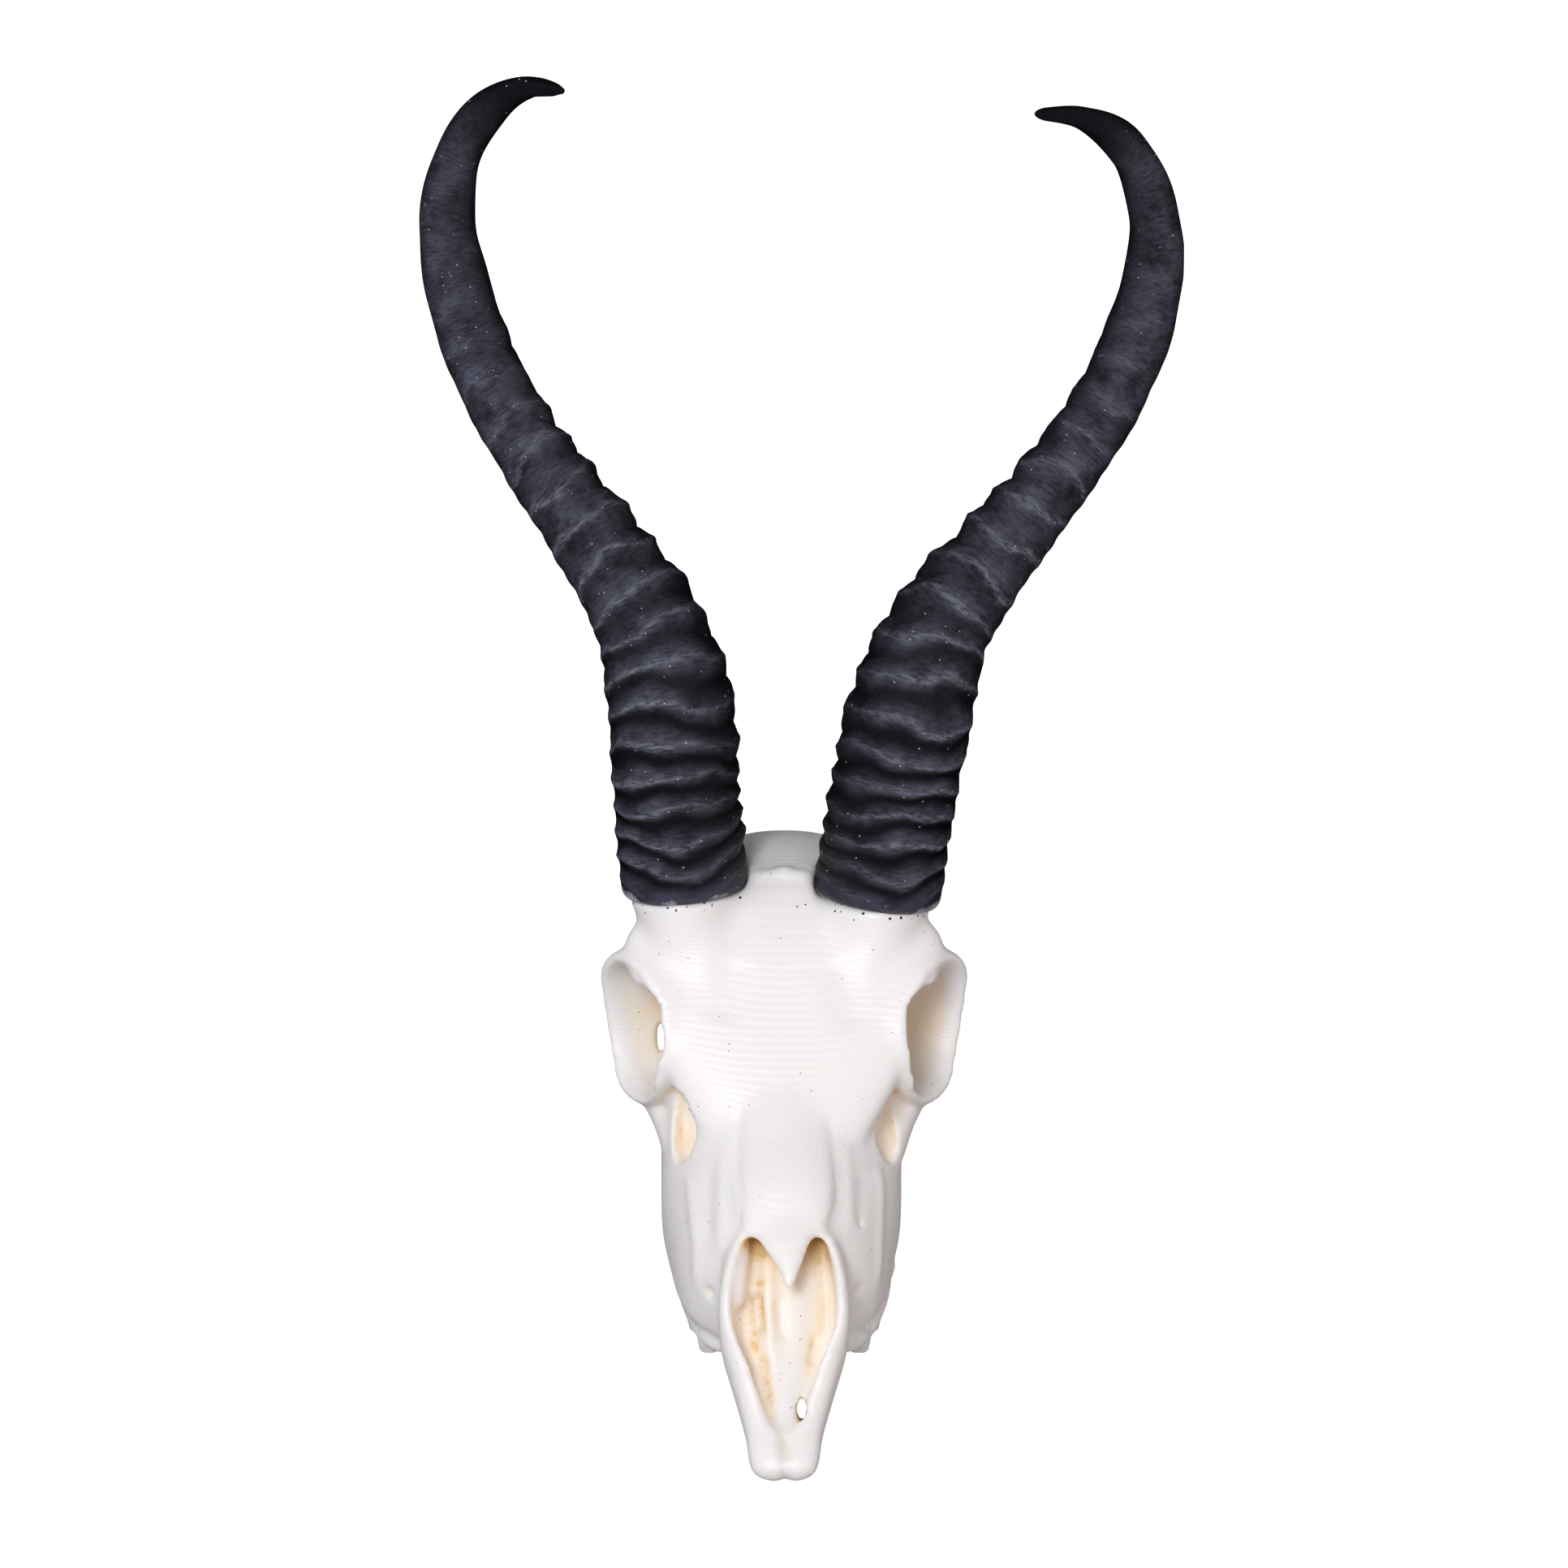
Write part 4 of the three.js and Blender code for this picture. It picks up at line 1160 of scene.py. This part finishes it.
def resin(name, shade, warm_hollow_shade):
    """shade is its colour on open bone; the other colours are painted warm shade, ever warmer in deeper
    hollows.
    """
    material, tree = new_finish(name)
    place = add(tree, "TexCoord").outputs["Object"]
    mm = add(tree, "Mapping", {"Vector": place, "Scale": (1000, 1000, 1000)}).outputs["Vector"]
    # The first two are painted shade, of the hollows and of the grooves; the flecks are real paint.
    hollow_shade, groove_shade, flecks = (
        add(tree, "Attribute", attribute_name=kept).outputs["Fac"]
        for kept in ("hollow_shade", "groove_shade", "flecks")
    )
    # Four unevennesses: wide clouds, breaks in the painted groove shade, where paint splashed, and wax
    # marks.
    cloud, groove_shade_breakup, splash, wax = (
        add(tree, "TexNoise", {
            "Vector": mm, "Scale": scale, "Detail": detail, "Roughness": rough,
        }).outputs["Fac"]
        for scale, detail, rough in ((0.22, 3, 0.5), (1.6, 3, 0.6), (0.9, 2, 0.5), (1.1, 4, 0.55))
    )
    groove_shade_breakup = add(tree, "MapRange", {"Value": groove_shade_breakup, 1: 0.3, 2: 0.62, 3: 0.45, 4: 1.0}).outputs[0]
    # The painted groove shade, broken up by a noise.
    shaded_grooves = add(tree, "Math", {0: groove_shade, 1: groove_shade_breakup}, operation="MULTIPLY").outputs[0]
    # How far the colour goes into the painted warm shade: by the rays' depth, a quarter of the cloud
    # and nearly half of the painted groove shade.
    depth = hollow_shade
    for amount, extra in ((0.25, cloud), (0.45, shaded_grooves)):
        feeds = {0: extra, 1: amount, 2: depth}
        depth = add(tree, "Math", feeds, operation="MULTIPLY_ADD").outputs[0]
    # From the open bone's colour into the painted warm shade, the deeper the warmer.
    tone = add(tree, "ValToRGB", {"Fac": depth})
    ramp = tone.color_ramp
    ramp.elements[0].position, ramp.elements[0].color = 0.3, linear(shade)
    ramp.elements[1].position, ramp.elements[1].color = 1.0, linear(warm_hollow_shade[2])
    for position, colour in ((0.62, warm_hollow_shade[0]), (0.85, warm_hollow_shade[1])):
        step = ramp.elements.new(position)
        step.color = linear(colour)
    # Grey dust: a speck of about 0.12 mm in some of the cells of 0.9 mm.
    speck = specks(tree, mm, 1.1, 0.78, 0.07)
    # Flecks of the horns' paint, up to 0.3 mm wide.
    drops = add(tree, "TexVoronoi", {"Vector": mm, "Scale": 1.5, "Randomness": 1.0})
    distance = drops.outputs["Distance"]
    drop = add(tree, "Math", {0: distance, 1: 0.22}, operation="LESS_THAN").outputs[0]
    splash = add(tree, "Math", {0: splash, 1: flecks}, operation="MULTIPLY").outputs[0]
    splash = add(tree, "Math", {0: splash, 1: 0.49}, operation="GREATER_THAN").outputs[0]
    fleck = add(tree, "Math", {0: drop, 1: splash}, operation="MULTIPLY").outputs[0]
    colour = laid_over(tree, tone.outputs["Color"], ((speck, "#7A7068"), (fleck, "#2A2B33")))
    # The master's layers lay 12 degrees from level and were thinner. They are drawn wider, or the
    # picture could not show them.
    layers = add(tree, "Mapping", {"Vector": mm, "Rotation": (math.radians(-12), 0, 0)})
    lines = add(tree, "TexWave", {
        "Vector": layers.outputs["Vector"], "Scale": 0.314 / LAYER / 2, "Distortion": 0.6,
        "Detail": 1.0, "Detail Scale": 0.3,
    }, wave_type="BANDS", bands_direction="Z", wave_profile="SIN").outputs["Fac"]
    relief = add(tree, "Math", {0: lines, 1: 0.5, 2: wax}, operation="MULTIPLY_ADD").outputs[0]
    bump = add(tree, "Bump", {"Height": relief, "Strength": 0.3, "Distance": 0.00009}).outputs["Normal"]
    shader = add(tree, "BsdfPrincipled", {
        "Base Color": colour, "Roughness": 0.42, "IOR": 1.5, "Specular IOR Level": 0.45,
        "Subsurface Weight": 0.5, "Subsurface Scale": 0.0012,
        "Subsurface Radius": (1.0, 0.75, 0.5), "Normal": bump,
    })
    add(tree, "OutputMaterial", {"Surface": shader.outputs[0]})
    return material


bone_resin = resin("ivory_cast_resin", "#F0EEF0", ("#F4EADD", "#F2DFC6", "#E6C795"))
tooth_resin = resin("ivory_cast_resin_teeth", "#ECE9E8", ("#F0E7DA", "#F0DCBC", "#E0BB88"))
for piece, finish in ((skull, bone_resin), *[(row, tooth_resin) for row in teeth.values()]):
    piece.data.materials.clear()
    piece.data.materials.append(finish)
print("resins:", bone_resin.name, tooth_resin.name)

# %% [markdown]
# Black acrylic paint, brushed on by hand and then rubbed dull: a blue-black that is almost matt, with
# fine hair lines round the horn, specks of white dust, and a worn pale edge at the foot where the resin
# shows. A grey highlight is painted on the slopes above the ridges, along the ridges and broadly on the
# upper horn, lighter on the front that faces the light.


# %% Black paint
def paint(name):
    material, tree = new_finish(name)
    grain = add(tree, "Attribute", attribute_name="grain").outputs["Vector"]
    # crest and lip carry painted highlights; bare is where the paint frays at the foot.
    crest, lip, foot = (
        add(tree, "Attribute", attribute_name=kept).outputs["Fac"] for kept in ("crest", "lip", "bare")
    )
    # Patches of thin paint, hairs of the brush that run round the horn, and a fine pitted grain.
    stretched = add(tree, "Mapping", {"Vector": grain, "Scale": (1.1, 1.1, 5.0)}).outputs["Vector"]
    patches, hairs, pits = (
        add(tree, "TexNoise", {
            "Vector": place, "Scale": scale, "Detail": detail, "Roughness": rough,
        }).outputs["Fac"]
        for place, scale, detail, rough in (
            (grain, 0.35, 4, 0.6), (stretched, 1.0, 6, 0.7), (grain, 5.0, 3, 0.7),
        )
    )
    # Painted highlight on the slopes above the crests, broken up by the brush hairs and patches, and a
    # painted highlight along the thin ridges.
    highlight_noise = add(tree, "Math", {0: hairs, 1: patches}, operation="MULTIPLY").outputs[0]
    highlight_breakup = add(tree, "MapRange", {"Value": highlight_noise, 1: 0.15, 2: 0.34, 3: 0.15, 4: 1.0}).outputs[0]
    crest_highlight = add(tree, "Math", {0: highlight_breakup, 1: crest}, operation="MULTIPLY").outputs[0]
    # Painted highlight along the ridge lines, where the hairs allow.
    ridge_highlight = add(tree, "MapRange", {"Value": hairs, 1: 0.42, 2: 0.58, 3: 0.15, 4: 1.0}).outputs[0]
    ridge_highlight = add(tree, "Math", {0: ridge_highlight, 1: lip}, operation="MULTIPLY").outputs[0]
    # At the foot the paint is thin and bluer, and it frays into bare resin.
    frayed = add(tree, "Math", {0: patches, 1: 0.8, 2: foot}, operation="MULTIPLY_ADD").outputs[0]
    thinned = add(tree, "MapRange", {"Value": frayed, 1: 0.6, 2: 0.95, 3: 0.0, 4: 0.6}).outputs[0]
    bare = add(tree, "MapRange", {"Value": frayed, 1: 1.08, 2: 1.2, 3: 0.0, 4: 1.0}).outputs[0]
    # White dust: a speck of about 0.12 mm in two of five cells, which are 0.7 mm wide.
    speck = specks(tree, grain, 1.4, 0.6, 0.085)
    # The two lighter greys are painted highlights; then thin bluer paint, bare resin and white dust.
    colour = laid_over(tree, linear("#101118"), (
        (crest_highlight, "#5A5C6E"), (ridge_highlight, "#7C7F90"), (thinned, "#34334E"), (bare, "#B9B7C2"),
        (speck, "#D2D3DA"),
    ))
    relief = add(tree, "Math", {0: hairs, 1: patches}, operation="ADD").outputs[0]
    relief = add(tree, "Math", {0: pits, 1: 0.5, 2: relief}, operation="MULTIPLY_ADD").outputs[0]
    bump = add(tree, "Bump", {"Height": relief, "Strength": 0.8, "Distance": 0.0004}).outputs["Normal"]
    shader = add(tree, "BsdfPrincipled", {
        "Base Color": colour, "Roughness": 0.46, "IOR": 1.48, "Specular IOR Level": 0.32,
        "Normal": bump,
    })
    add(tree, "OutputMaterial", {"Surface": shader.outputs[0]})
    return material


black_paint = paint("brushed_black_acrylic")
for piece in horns.values():
    piece.data.materials.append(black_paint)
print("paint:", black_paint.name)

# %% [markdown]
# The studio: a pale floor under the skull, a dim even surround, one large soft light above the camera,
# and a weak, warm and matt reflector to either side.

# %% Floor and light
FLOOR_SIZE = 6.0  # half its side, in metres
SURROUND = 0.33  # how bright the world is
sheet = bmesh.new()
bmesh.ops.create_grid(sheet, x_segments=1, y_segments=1, size=FLOOR_SIZE)
floor = on_bench("floor", [sheet])
floor_finish, floor_tree = new_finish("white_paper")
paper = add(floor_tree, "BsdfPrincipled", {
    "Base Color": linear("#F4F4F4"), "Roughness": 0.9, "Specular IOR Level": 0.1,
    "Emission Color": linear("#FFFFFF"), "Emission Strength": 0.7,
})
add(floor_tree, "OutputMaterial", {"Surface": paper.outputs[0]})
floor.data.materials.append(floor_finish)
# Black flags keep the paper's glare off the piece, so its edges stay dark, as in the photograph.
floor.visible_diffuse = False
floor.visible_glossy = False

world = bpy.data.worlds.new("surround")
world.use_nodes = True
backdrop = world.node_tree.nodes["Background"]
backdrop.inputs["Color"].default_value = linear("#FFFFFF")
backdrop.inputs["Strength"].default_value = SURROUND
bpy.context.scene.world = world
world.cycles_visibility.glossy = False
bpy.context.scene.view_settings.view_transform = "Standard"


def softbox(name, place, aim, size, watts, colour="#FFFFFF", shines=True):
    """A round soft light. place and aim are on the bench, in mm, and its size is in metres."""
    data = bpy.data.lights.new(name, "AREA")
    data.shape, data.size, data.energy = "DISK", size, watts
    data.color = linear(colour)[:3]
    lamp = bpy.data.objects.new(name, data)
    lamp.visible_glossy = shines
    lamp.location = to_frame(place)
    lamp.rotation_euler = (to_frame(aim) - lamp.location).to_track_quat("-Z", "Y").to_euler()
    bpy.context.scene.collection.objects.link(lamp)
    print(name, watts, "W")


softbox("key_light", (-176, -438, 643), (0, 45, 30), 0.26, 3.65)
softbox("left_light", (-620, -300, 420), (0, 45, 30), 0.3, 1.0, colour="#FFF4EE", shines=False)
softbox("right_reflector", (560, -420, 160), (0, 35, 15), 0.4, 1.25, colour="#FFE9DF", shines=False)

# %% [markdown]
# Last, each piece rides on the one body and stands for its solid.

# %% Into the model
pieces = [(skull, "skull", "bone_resin")]
pieces += [(teeth[side], f"teeth_{word}", "tooth_resin") for word, side in SIDES.items()]
pieces += [(horns[side], f"horn_{word}", "horn_paint") for word, side in SIDES.items()]
for piece, node, slot in pieces:
    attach(piece, "root")
    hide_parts(node)
